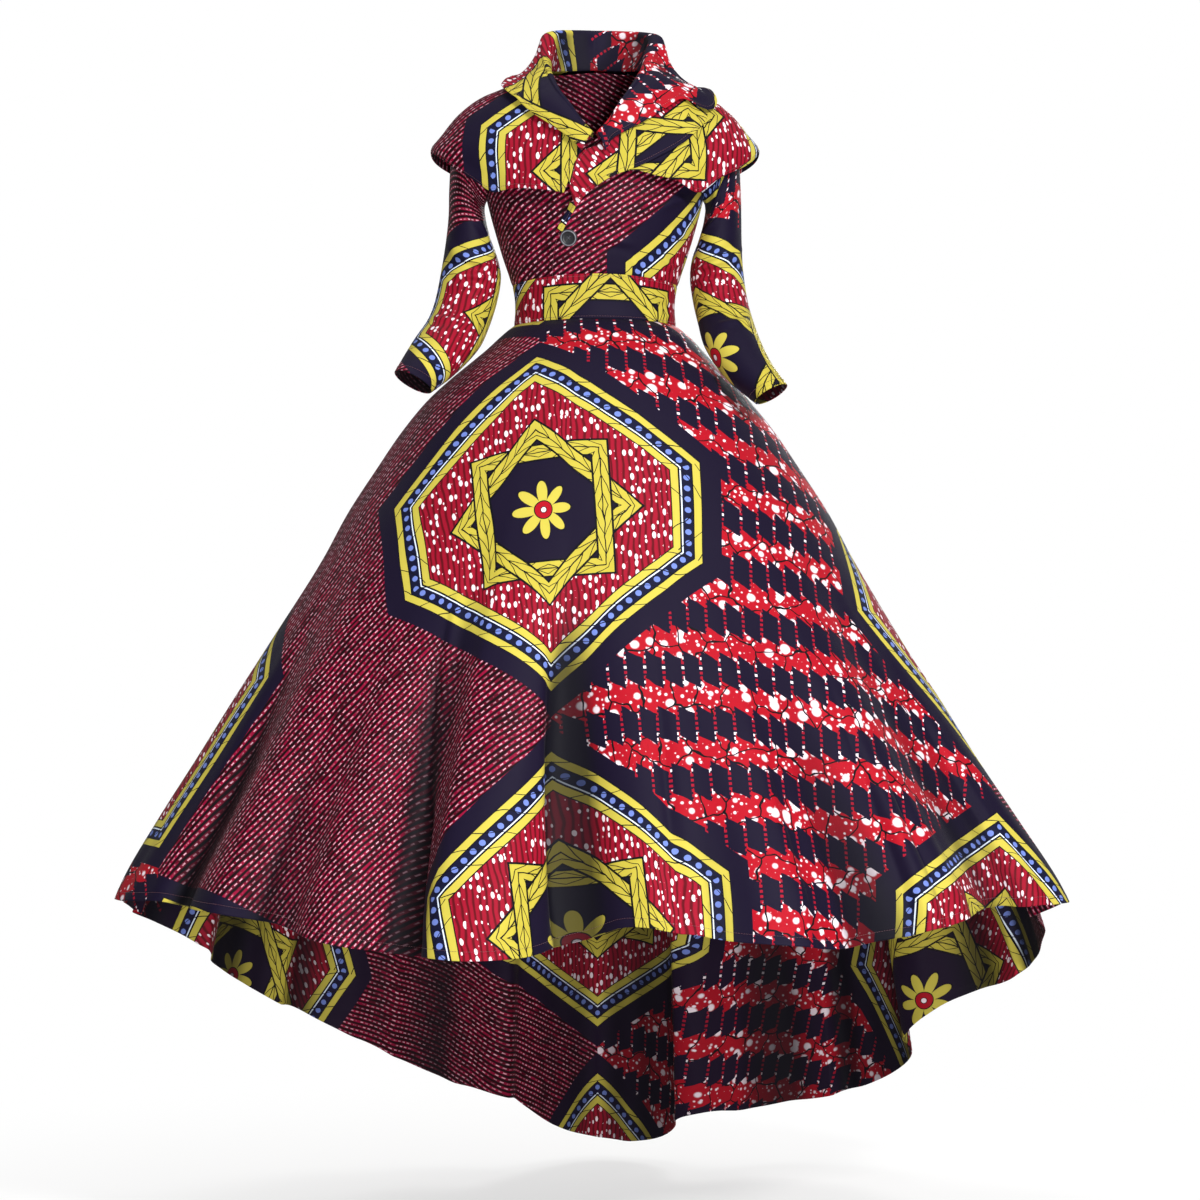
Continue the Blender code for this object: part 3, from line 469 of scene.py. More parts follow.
def hemShares(count):
    # shares of a skirt's length, with rows close together at the hem's stitching and its edge
    shares = np.linspace(0.0, 1.0, count) ** 0.92
    extra = [0.9835, 0.9862, 0.9878, 0.9905, 0.9985]
    return np.unique(np.concatenate([shares[shares < 0.98], extra, [1.0]]))[::-1]


def crowdedShares(count, spots):
    # shares across a panel, closer together where a fold breaks sharply
    fine = np.linspace(0.0, 1.0, 2001)
    density = np.zeros_like(fine)
    for spot in spots:
        density += cut["crowding"] * np.exp(-(((fine - spot) / cut["crowdReach"]) ** 2))
    place = np.cumsum(1.0 + density)
    return np.interp(np.linspace(place[0], place[-1], count), place, fine)


def skirtPanel(first, last, across, count, hem, folds, turned):
    share = hemShares(count)[:, None]
    angle = (first + (last - first) * across)[None, :]
    own = angle if turned == 0 else turned - angle
    waist = waistEdge("waistLow", angle)
    length = waist - readTable(hem, own)[..., 1]
    below = cut["skirtStart"] + (length - cut["skirtStart"]) * share
    section, turn = readTable(skirtDrops, below), np.radians(angle)
    out = flutes(folds, own, share)
    depth = np.where(np.cos(turn) > 0, section[..., 3], section[..., 4])
    x = section[..., 1] + (section[..., 2] + out) * np.sin(turn)
    return np.stack([x, -(depth + out) * np.cos(turn), waist - below], -1)


def sleeveTube(side, cuts, around=96, rows=140):
    # rings from the armhole to the cuff; the seam runs under the arm
    turns = math.pi + np.linspace(0.0, 2 * math.pi, around, endpoint=False)
    height = armholeMiddle + armholeHalf * np.cos(turns)
    head = onForm(bodyForm, 90.0 - cut["armholeBite"] * np.sin(turns), height)
    rings = [head + np.array([cut["sleeveStart"], 0.0, 0.0])]
    cuts = np.array(cuts)
    centres = np.stack([(cuts[:, 0] + cuts[:, 2]) / 2, cuts[:, 4], (cuts[:, 1] + cuts[:, 3]) / 2], 1)
    for i, (outerX, outerZ, innerX, innerZ, _, halfDepth) in enumerate(cuts):
        way = centres[min(i + 1, len(cuts) - 1)] - centres[max(i - 1, 0)]
        major = np.array([outerX - innerX, 0.0, outerZ - innerZ]) / 2
        square = unit(np.cross(major, way))
        front = square * (1.0 if square[1] < 0 else -1.0)
        front = front + (np.array([0.0, -1.0, 0.0]) - front) * cut["cuffTilt"] * i / len(cuts)
        front = unit(front - major * front.dot(major) / major.dot(major)) * halfDepth
        rings.append(centres[i] + np.outer(np.cos(turns), major) + np.outer(np.sin(turns), front))
    grid = smoothRows(np.array(rings), rows) * np.array([side, 1.0, 1.0])
    return grid if side > 0 else np.roll(grid[:, ::-1], 1, 1)


def leafLayer(side, rows, plies, columns, steps):
    # a flat collar layer on the yoke form, from its outer edge up to its inner one
    leaf = readStations(rows, np.linspace(0.0, len(rows) - 1.0, columns))[None]
    share = np.linspace(1.0, 0.0, steps)[:, None]
    angle = leaf[..., 0] + (leaf[..., 2] - leaf[..., 0]) * share + leaf[..., 4] * np.sin(math.pi * share)
    z = leaf[..., 1] + (leaf[..., 3] - leaf[..., 1]) * share
    grid = aboveForm(yokeForm, side * angle, z, plies * cut["ply"] + 0.0 * z)
    return grid if side > 0 else grid[:, ::-1]


collarRoll = {
    "seamLift": 0.003,
    "seamOut": 0.0015,
    "standShare": 0.55,
    "edgePlies": 2.3,
    "fallPlies": 2.7,
    "fallBelow": 0.045,
    "fallPull": 0.6,
}


def collarStrip(columns=210, rows=66):
    # one strip from the right front end, round the back of the neck, to the left front end
    sections = []
    for side, table in ((-1, collarRight + collarBack), (1, collarLeft + collarBack)):
        roll = readStations(table, np.linspace(0.0, len(table) - 1.0, columns // 2 + 1))
        seamAngle, seamZ, x, y, z, half, sag, edgeAngle, edgeZ = roll.T
        seamZ = seamZ + collarRoll["seamLift"]
        seam = aboveForm(bodyForm, side * seamAngle, seamZ, collarRoll["seamOut"] + 0 * seamZ)
        crest = np.stack([side * x, y, z], -1)
        out = collarRoll["edgePlies"] * cut["ply"] + 0 * edgeZ
        edge = aboveForm(yokeForm, side * edgeAngle, edgeZ, out)
        flat = unit((edge - seam) * np.array([1.0, 1.0, 0.0]))
        up, half = np.array([0.0, 0.0, 1.0]), half[:, None]
        inner, outer = crest - flat * half, crest + flat * half
        points = [seam, seam + (inner - seam) * collarRoll["standShare"], inner]
        for turn in (45.0, 90.0, 135.0):
            swing = math.radians(turn)
            points.append(crest - flat * half * math.cos(swing) + up * half * math.sin(swing))
        points.append(outer)
        pull = (outer + edge) / 2 - (flat + up * collarRoll["fallPull"]) * sag[:, None] * 2.0
        for share in (0.24, 0.5, 0.76, 1.0):
            first, second = outer + (pull - outer) * share, pull + (edge - pull) * share
            point = first + (second - first) * share
            lifted = liftOff(yokeForm, point, collarRoll["fallPlies"] * cut["ply"])
            points.append(np.where(point[:, 2:] < collarRoll["fallBelow"], lifted, point))
        sections.append(np.array(points))
    grid = np.concatenate([sections[0], sections[1][:, -2::-1]], axis=1)
    return smoothRows(grid, rows)


def joined(grid, closed):
    # a tube's first column again after its last one
    return np.concatenate([grid, grid[:, :1]], 1) if closed else grid


def numbered(rows, columns):
    return np.arange(rows * columns).reshape(rows, columns)


def quadsOf(index):
    corners = [index[:-1, :-1], index[:-1, 1:], index[1:, 1:], index[1:, :-1]]
    return np.stack(corners, -1).reshape(-1, 4)


def faceOut(grid, closed=False):
    wide = np.concatenate([grid[:, -1:], grid, grid[:, :1]], 1) if closed else grid
    normal = unit(np.cross(np.gradient(wide, axis=1), np.gradient(wide, axis=0)))
    return normal[:, 1:-1] if closed else normal


def run(points, axis):
    # the length run along a grid's rows or columns, from the first one
    steps = np.linalg.norm(np.diff(points, axis=axis), axis=2)
    start = np.zeros_like(steps[:1] if axis == 0 else steps[:, :1])
    return np.concatenate([start, np.cumsum(steps, axis)], axis)


def stripCut(grid, key=None, column=0, closed=False):
    # a piece laid flat by its lengths round and up, from one column or from where a key crosses nought
    grid = joined(grid, closed)
    across = run(grid, 1)
    spine, start = grid[:, column], across[:, column]
    if key is not None:
        start = np.array([np.interp(0.0, k, a) for k, a in zip(key, across)])
        spine = np.array([[np.interp(0.0, k, p[:, i]) for i in range(3)] for k, p in zip(key, grid)])
    height = run(spine[:, None], 0)[:, 0]
    return np.stack([across - start[:, None], np.repeat(height[:, None], grid.shape[1], 1)], -1)


def fanCut(grid, column, row):
    # a flared piece laid flat as a sector of a ring, hanging from its top edge
    arcs, slant = run(grid, 1), run(grid[::-1], 0)[::-1]
    long, top, depth = arcs[row, -1], arcs[-1, -1], slant[row].mean()
    first = depth * top / (long - top)
    turn = (arcs[row] - arcs[row, column]) / (first + depth)
    reach = first + slant
    return np.stack([reach * np.sin(turn), first - reach * np.cos(turn)], -1)


def layFlat(grid, column, rows=22, columns=60):
    # a piece's own cut: a coarse copy laid flat by least stretch, true to length, with one column upright
    pickedRows = np.linspace(0, grid.shape[0] - 1, rows).round().astype(int)
    pickedColumns = np.linspace(0, grid.shape[1] - 1, columns).round().astype(int)
    coarse = grid[np.ix_(pickedRows, pickedColumns)]
    faces = quadsOf(numbered(rows, columns)).tolist()
    copy = addMesh("cutting", coarse.reshape(-1, 3).tolist(), faces)
    mesh = copy.data
    mesh.uv_layers.new(name="flat")
    bpy.ops.object.select_all(action="DESELECT")
    copy.select_set(True)
    bpy.context.view_layer.objects.active = copy
    bpy.ops.object.mode_set(mode="EDIT")
    bpy.ops.mesh.select_all(action="SELECT")
    bpy.ops.uv.unwrap(method="MINIMUM_STRETCH", margin=0.0, iterations=30)
    bpy.ops.object.mode_set(mode="OBJECT")
    spots = np.zeros((len(mesh.loops), 2), np.float32)
    mesh.uv_layers["flat"].uv.foreach_get("vector", spots.ravel())
    corners = np.zeros(len(mesh.loops), np.int32)
    mesh.loops.foreach_get("vertex_index", corners)
    flat = np.zeros((rows * columns, 2))
    flat[corners] = spots
    flat = flat.reshape(rows, columns, 2)
    bpy.data.objects.remove(copy)
    middle = int(abs(pickedColumns - column).argmin())
    up = unit(flat[-1, middle] - flat[0, middle])
    turned = flat - flat[0, middle]
    turned = np.stack([turned @ np.array([up[1], -up[0]]), turned @ up], -1)
    turned *= run(coarse, 0)[-1].sum() / run(turned, 0)[-1].sum()
    every = np.arange(grid.shape[0])
    rows = [[np.interp(every, pickedRows, turned[:, c, k]) for c in range(columns)] for k in (0, 1)]
    every = np.arange(grid.shape[1])
    both = [[np.interp(every, pickedColumns, row) for row in np.array(part).T] for part in rows]
    return np.stack(both, -1)


def pressCreases(grid, flat, creases, closed=False):
    # each crease runs between two points of the cut: half width, height out, and how far it bows
    push = np.zeros(grid.shape[:2])
    for startU, startV, endU, endV, width, height, bow in creases:
        way = np.array([endU - startU, endV - startV])
        length = np.hypot(*way)
        away = flat[:, : grid.shape[1]] - np.array([startU, startV])
        t = away @ way / length**2
        off = (away[..., 0] * way[1] - away[..., 1] * way[0]) / length
        off = (off - bow * np.sin(math.pi * np.clip(t, 0, 1))) / width
        fade = ease(t / cloth["creaseFade"]) * ease((1.0 - t) / cloth["creaseFade"])
        trough = np.exp(-(((off - cloth["troughOffset"]) / cloth["troughWidth"]) ** 2))
        ridge = np.exp(-(off**2)) - cloth["troughDepth"] * trough
        push += cloth["creaseGain"] * height * fade * ridge
    return grid + faceOut(grid, closed) * push[..., None]


def pressRipples(grid, ripples, breaks, along, closed=False):
    # each runs up from the first row: where along it, half width, height out, how far up, and lean
    rows, columns = grid.shape[:2]
    up = np.linspace(0.0, 1.0, rows)[:, None]
    along = np.linspace(0.0, 1.0, columns) if along is None else along
    push = np.zeros((rows, columns))
    for middle, width, height, reach, lean in ripples:
        push += height * ease((reach - up) / reach) * np.exp(-(((along - middle - lean * up) / width) ** 2))
    # a break is a trough with one sharp edge: where, the width of its soft and sharp sides, and the rest
    for edge, left, right, depth, reach, lean in breaks:
        away = along - edge - lean * up
        width = np.where(away < 0.0, left, right)
        shape = np.exp(-(abs(away / width) ** cloth["breakPower"]))
        push -= depth * ease((reach - up) / reach * 1.5) * shape
    return grid + faceOut(grid, closed) * push[..., None]


def foldDepth(grid, normal, closed, fold):
    # how far each point lies below its own row smoothed out: nought on a ridge, one deep in a fold; the
    # print uses it for painted shade
    whole = joined(grid, closed)
    smooth = np.zeros_like(whole)
    for i, row in enumerate(whole):
        place = run(row[None], 1)[0]
        even = np.linspace(0.0, place[-1], 500)
        half = min(int(3.0 * fold[0] / even[1]), 498)
        weight = np.exp(-0.5 * (np.arange(-half, half + 1) * even[1] / fold[0]) ** 2)
        for k in range(3):
            line = np.pad(np.interp(even, place, row[:, k]), half, mode="reflect", reflect_type="odd")
            smooth[i, :, k] = np.interp(place, even, np.convolve(line, weight / weight.sum(), "valid"))
    below = ((smooth[:, : grid.shape[1]] - grid) * normal).sum(-1)
    return ease((below - fold[1]) / fold[2])


def edgeRuns(grid, closed):
    up, across = run(grid, 0), run(grid, 1)
    runs = {"bottom": up, "top": up[-1:] - up}
    if not closed:
        runs.update({"left": across, "right": across[:, -1:] - across})
    return runs


def ringOf(index):
    # the indices round a grid's edge, ending where they began
    sides = [index[0, :-1], index[:-1, -1], index[-1, :0:-1], index[:0:-1, 0], index[:1, 0]]
    return np.concatenate(sides)


def sewShell(
    name, grid, flat, closed=False, hems=(), seams=(), curls=(), creases=(), ripples=(), breaks=(),
    along=None, place=(0.0, 0.0, 0.0), fold=(0.014, 0.0001, 0.0022), facing=None
):
    # a thin closed shell of cloth about a grid: turned hems thicken it, seamed edges sink in
    grid = pressCreases(pressRipples(grid, ripples, breaks, along, closed), flat, creases, closed)
    runs, normal = edgeRuns(grid, closed), faceOut(grid, closed)
    for side, height, reach in curls:
        grid = grid + normal * (height * ease((reach - runs[side]) / reach))[..., None]
    sink, doubled = np.zeros(grid.shape[:2]), np.zeros(grid.shape[:2])
    for side in seams:
        sink += np.exp(-((runs[side] / cloth["seamReach"]) ** 2))
    grid = grid - normal * (cloth["seamSink"] * np.minimum(sink, 1.0))[..., None]
    for side in hems:
        doubled = np.maximum(doubled, ease((cloth["hemWidth"] - runs[side]) / cloth["hemSoft"] + 0.5))
    half, share = cloth["thickness"] / 2, cloth["hemOutside"]
    outer = grid + normal * (half + share * cloth["hemExtra"] * doubled)[..., None]
    inner = grid - normal * (half + (1.0 - share) * cloth["hemExtra"] * doubled)[..., None]
    index, mapIndex = numbered(*grid.shape[:2]), numbered(*flat.shape[:2])
    count = index.size
    quads, maps = quadsOf(joined(index, closed)), quadsOf(mapIndex)
    faces, mapped = [quads, quads[:, ::-1] + count], [maps, maps[:, ::-1]]
    if closed:
        start = [np.append(row, row[0]) for row in (index[0], index[1])]
        end = [np.append(row[0], row[::-1]) for row in (index[-1], index[-2])]
        loops = [(start[0], mapIndex[0], start[1]), (end[0], mapIndex[-1, ::-1], end[1])]
    else:
        inside = np.pad(index[1:-1, 1:-1], 1, mode="edge")
        loops = [[ringOf(part) for part in (index, mapIndex, inside)]]
    points = [outer.reshape(-1, 3), inner.reshape(-1, 3)]
    middle, total = grid.reshape(-1, 3), 2 * count
    for edge, edgeMap, nearby in loops:
        away = unit(middle[edge[:-1]] - middle[nearby[:-1]])
        points.append(middle[edge[:-1]] + away * half)
        rim = total + np.append(np.arange(len(edge) - 1), 0)
        total += len(edge) - 1
        faces.append(np.stack([edge[1:], edge[:-1], rim[:-1], rim[1:]], 1))
        faces.append(np.stack([rim[1:], rim[:-1], edge[:-1] + count, edge[1:] + count], 1))
        mapped += [np.stack([edgeMap[1:], edgeMap[:-1], edgeMap[:-1], edgeMap[1:]], 1)] * 2
    points, faces, mapped = np.concatenate(points), np.concatenate(faces), np.concatenate(mapped)
    piece = addMesh(name, points.tolist(), faces.tolist())
    mesh = piece.data
    across, up, turn = place
    turn = math.radians(turn)
    u = flat[..., 0] * math.cos(turn) - flat[..., 1] * math.sin(turn) + across
    v = flat[..., 0] * math.sin(turn) + flat[..., 1] * math.cos(turn) + up
    spots = np.stack([u, v], -1).reshape(-1, 2)[mapped.ravel()]
    if facing:
        # the facing shows as a narrow edge, cut from another part of the print
        height = flat[..., 1]
        near = (runs["left"] < facing["width"]) & (height > facing["low"]) & (height < facing["high"])
        turned = np.repeat(near.ravel()[quads].all(1), 4)
        spots[: len(turned)][turned] += (facing["across"], facing["up"])
    mesh.uv_layers.new(name="cut").uv.foreach_set("vector", spots.astype(np.float32).ravel())
    wrong, shaded = np.zeros((2, len(points)), np.float32)
    wrong[count : 2 * count] = 1.0
    # the fold depth on both faces, which the print turns into painted shade
    shaded[:count] = foldDepth(grid, normal, closed, fold).ravel()
    shaded[count : 2 * count] = foldDepth(grid, -normal, closed, fold).ravel()
    markPoints(mesh, "foldDepth", shaded)
    markPoints(mesh, "wrongSide", wrong)
    mesh.shade_smooth()
    mesh.update()
    size = np.ptp(flat.reshape(-1, 2), axis=0)
    whole = joined(grid, closed)
    crossed = np.cross(whole[1:, 1:] - whole[:-1, :-1], whole[1:, :-1] - whole[:-1, 1:])
    area = np.linalg.norm(crossed, axis=2).sum() / 2
    return {"piece": piece, "outer": outer, "runs": runs, "closed": closed, "size": size, "area": area}


def pathInFrom(shell, side, inset):
    # points on the outer face at one distance in from an edge, just proud of the cloth
    grid, runs = shell["outer"], shell["runs"][side]
    out = grid + faceOut(grid, shell["closed"]) * stitching["proud"]
    if side in ("left", "right"):
        out, runs = out.transpose(1, 0, 2), runs.T
    if side in ("top", "right"):
        out, runs = out[::-1], runs[::-1]
    path = [[np.interp(inset, runs[:, c], out[:, c, k]) for k in range(3)] for c in range(out.shape[1])]
    if shell["closed"]:
        path.append(path[0])
    return np.array(path)


# the wax print: lengths in metres on the cloth, a lean in degrees, and shares
wax = {
    "acrossRepeat": 0.66,
    "upRepeat": 0.575,
    "sideReach": 0.212,
    "topReach": 0.25,
    "cornerHeight": 0.075,
    "frameWidth": 0.05,
    "plainStrip": 0.025,
    "dotPitch": 0.016,
    "dotRadius": 0.0041,
    "dotDepth": 0.0188,
    "stripePitch": 0.0072,
    "stripeLean": 32.0,
    "dashPitch": 0.0092,
    "bandPitch": 0.076,
    "bandHalf": 0.0165,
    "seedPitch": 0.025,
    "seedHeight": 0.0205,
    "seedWidth": 0.0111,
    "seedDashPitch": 0.0068,
    "seedDashWidth": 0.0019,
    "fieldPitch": 0.0078,
    "fieldStart": 0.812,
    "veinPitch": 0.026,
    "crossVeinPitch": 0.038,
    "starReach": 0.084,
    "barHalf": 0.01,
    "outline": 0.0028,
    "eyeRadius": 0.0135,
    "weavePitch": 0.0012,
    # how strongly deep folds are darkened by painted shade
    "foldShade": 0.86,
}
ink = {
    "indigo": "#140D24",
    "navy": "#10122D",
    "black": "#0A0A10",
    "yellow": "#C2B448",
    "ochre": "#B3A436",
    "red": "#A50D1F",
    "crimson": "#950F28",
    "deepRed": "#5A0814",
    "maroon": "#920C36",
    "darkMaroon": "#14040C",
    "pink": "#DFA9B9",
    "white": "#EEDFE7",
    "blue": "#6C80C8",
    "paleBlue": "#DCE6F5",
    "dulled": "#3A2028",
}
ink = {name: linearColour(code) for name, code in ink.items()}


def pinstripes(add, place):
    # fine slanting lines with pale dashes
    lean = math.radians(wax["stripeLean"])
    wobble = add("TexNoise", {"Vector": place, "Scale": 18.0, "Detail": 2.0})
    across = add("VectorMath DOT_PRODUCT", place, (-math.sin(lean), math.cos(lean), 0.0), pick=1)
    across = add("MULTIPLY_ADD", wobble, 0.004, across)
    along = add("VectorMath DOT_PRODUCT", place, (math.cos(lean), math.sin(lean), 0.0), pick=1)
    count = add("MULTIPLY", across, 1.0 / wax["stripePitch"])
    chance = add("TexWhiteNoise", {"W": add("FLOOR", count)}, noise_dimensions="1D")
    step = add("FRACT", count)
    bands = [(0.0, "darkMaroon"), (0.32, "darkMaroon"), (0.44, "maroon")]
    bands += [(0.84, "maroon"), (0.96, "darkMaroon")]
    ground = add("ValToRGB", step, ramp=bands, interpolation="LINEAR")
    patch = add("CombineXYZ", add("MULTIPLY", along, 30.0), add("MULTIPLY", across, 95.0))
    patch = add("TexNoise", {"Vector": patch, "Scale": 1.0, "Detail": 3.0}, noise_dimensions="2D")
    shade = add("ValToRGB", patch, ramp=[(0.38, "black"), (0.58, "white")], interpolation="LINEAR")
    ground = add("MixRGB MULTIPLY", 0.7, ground, shade)
    dash = add("FRACT", add("MULTIPLY_ADD", along, 1.0 / wax["dashPitch"], chance))
    core = add("MULTIPLY", add("COMPARE", step, 0.64, 0.105), add("LESS_THAN", dash, 0.54))
    faint = add("TexNoise", {"Vector": place, "Scale": 75.0, "Detail": 3.0})
    strength = add("MULTIPLY_ADD", faint, 5.0, -1.85, use_clamp=True)
    return add("MixRGB", add("MULTIPLY", core, strength), ground, ink["pink"])


def seedBands(add, place, u, v):
    # bubbly red bands between rows of upright seeds, with dashes between the seeds
    rise = add("WRAP", v, wax["bandPitch"] / 2, -wax["bandPitch"] / 2)
    row = add("ROUND", add("MULTIPLY", v, 1.0 / wax["bandPitch"]))
    slide = add("MULTIPLY_ADD", row, wax["seedPitch"] / 2, u)
    offset = add("WRAP", slide, wax["seedPitch"] / 2, -wax["seedPitch"] / 2)
    side = add("ABSOLUTE", offset)
    ragged = add("TexNoise", {"Vector": place, "Scale": 60.0, "Detail": 1.0})
    slant = add("MULTIPLY_ADD", ragged, 0.006, add("MULTIPLY_ADD", offset, 0.55, rise))
    tall = add("COMPARE", slant, 0.003, wax["seedHeight"])
    seed = add("MULTIPLY", tall, add("LESS_THAN", side, wax["seedWidth"]))
    bubbles = []
    for scale, reach in ((50.0, 0.42), (105.0, 0.3)):
        cells = {"Vector": place, "Scale": scale, "Randomness": 0.95}
        cell = add("TexVoronoi", cells, voronoi_dimensions="2D")
        size = add("MULTIPLY", add("SeparateColor", cell.node.outputs["Color"]), reach)
        bubbles.append(add("MULTIPLY", add("SUBTRACT", size, cell), 9.0, use_clamp=True))
    white = add("MAXIMUM", *bubbles)
    bend = add("TexNoise", {"Vector": place, "Scale": 40.0, "Detail": 1.0}, pick=1)
    cells = {"Vector": add("VectorMath MULTIPLY_ADD", bend, (0.02, 0.02, 0.0), place), "Scale": 26.0}
    crack = add("TexVoronoi", cells, voronoi_dimensions="2D", feature="DISTANCE_TO_EDGE")
    band = add("MixRGB", white, ink["red"], ink["white"])
    band = add("MixRGB", add("LESS_THAN", crack, 0.03), band, ink["black"])
    middle = add("COMPARE", slant, 0.003, wax["bandHalf"])
    band = add("MixRGB", add("MAXIMUM", middle, seed), band, ink["indigo"])
    between = add("GREATER_THAN", side, wax["seedPitch"] / 2 - wax["seedDashWidth"])
    beat = add("MULTIPLY", rise, 1.0 / wax["seedDashPitch"])
    drawn = add("LESS_THAN", add("FRACT", beat), 0.55)
    dash = add("MULTIPLY", add("MULTIPLY", between, drawn), middle)
    chance = add("CombineXYZ", row, add("FLOOR", beat), slide)
    chance = add("TexWhiteNoise", {"Vector": chance}, noise_dimensions="2D")
    dashColour = add("MixRGB", add("GREATER_THAN", chance, 0.7), ink["crimson"], ink["white"])
    return add("MixRGB", dash, band, dashColour)


def speckledField(add, place, u):
    # red with dark upright wavy lines and pale grains
    wobble = add("TexNoise", {"Vector": place, "Scale": 30.0, "Detail": 1.0})
    wavy = add("MULTIPLY", add("MULTIPLY_ADD", wobble, 0.009, u), 1.0 / wax["fieldPitch"])
    bands = [(0.0, "deepRed"), (0.2, "deepRed"), (0.36, "crimson"), (0.8, "crimson"), (1.0, "deepRed")]
    field = add("ValToRGB", add("FRACT", wavy), ramp=bands, interpolation="LINEAR")
    squeezed = add("VectorMath MULTIPLY", place, (128.0, 66.0, 1.0))
    cells = {"Vector": squeezed, "Scale": 1.0, "Randomness": 0.8}
    grain = add("TexVoronoi", cells, voronoi_dimensions="2D")
    size = add("MULTIPLY_ADD", add("SeparateColor", grain.node.outputs["Color"]), 0.4, -0.05)
    return add("MixRGB", add("LESS_THAN", grain, size), field, ink["white"])


def veins(add, lean, pitch, width):
    # thin lines at every pitch of a slanting distance
    return add("COMPARE", add("WRAP", lean, pitch / 2, -pitch / 2), 0.0, width)


def veinedYellow(add, place, across, along):
    # yellow with black leaf veins: long strokes that lean off a bar's middle, a little ragged
    bend = add("TexNoise", {"Vector": place, "Scale": 42.0, "Detail": 1.0})
    lean = add("MULTIPLY_ADD", add("ABSOLUTE", across), 2.6, along)
    stroke = veins(add, add("MULTIPLY_ADD", bend, 0.016, lean), wax["veinPitch"], 0.0015)
    middle = add("ADD", add("MULTIPLY_ADD", bend, 0.006, -0.003), across)
    stroke = add("MAXIMUM", stroke, add("COMPARE", middle, 0.0, 0.0008))
    tone = add("MixRGB", bend, ink["yellow"], ink["ochre"])
    return add("MixRGB", stroke, tone, ink["black"])


def starMedallion(add, place, x, y, ground):
    # two square frames woven into an eight-pointed star, with a petalled rose inside
    reach, half, line = wax["starReach"], wax["barHalf"], wax["outline"]
    square = add("MAXIMUM", x, y)
    diamond = add("MULTIPLY", add("ADD", x, y), math.sqrt(0.5))
    star = add("LESS_THAN", add("MINIMUM", square, diamond), reach + half + line)
    colour = add("MixRGB", star, ground, ink["indigo"])
    radius = add("VectorMath LENGTH", add("CombineXYZ", x, y), pick=1)
    turn = add("MULTIPLY", add("ARCTAN2", y, x), 4.0)
    wave = add("ABSOLUTE", add("COSINE", turn))
    petal = add("SUBTRACT", add("MULTIPLY_ADD", wave, 0.028, 0.016), radius)
    petal = add("MULTIPLY", petal, 20.0)
    leaf = add("MixRGB", add("LESS_THAN", petal, 0.045), ink["yellow"], ink["black"])
    colour = add("MixRGB", add("GREATER_THAN", petal, 0.0), colour, leaf)
    rings = [(0.0, "white"), (0.18, "black"), (0.24, "red"), (0.6, "black"), (0.68, "indigo")]
    eye = add("ValToRGB", add("MULTIPLY", radius, 50.0), ramp=rings)
    colour = add("MixRGB", add("LESS_THAN", radius, wax["eyeRadius"]), colour, eye)
    lowest = add("MINIMUM", x, y)
    slope = add("MULTIPLY", add("SUBTRACT", x, y), math.sqrt(0.5))
    bars = []
    for distance, along in ((square, lowest), (diamond, slope)):
        middle = add("SUBTRACT", distance, reach)
        away = add("ABSOLUTE", middle)
        yellow = veinedYellow(add, place, middle, along)
        painted = add("MixRGB", add("LESS_THAN", away, half), ink["black"], yellow)
        bars.append((add("LESS_THAN", away, half + line), painted))
    woven = []
    for order in (bars, bars[::-1]):
        drawn = colour
        for bar, painted in order:
            drawn = add("MixRGB", bar, drawn, painted)
        woven.append(drawn)
    return add("MixRGB", add("GREATER_THAN", add("SINE", turn), 0.0), *woven)


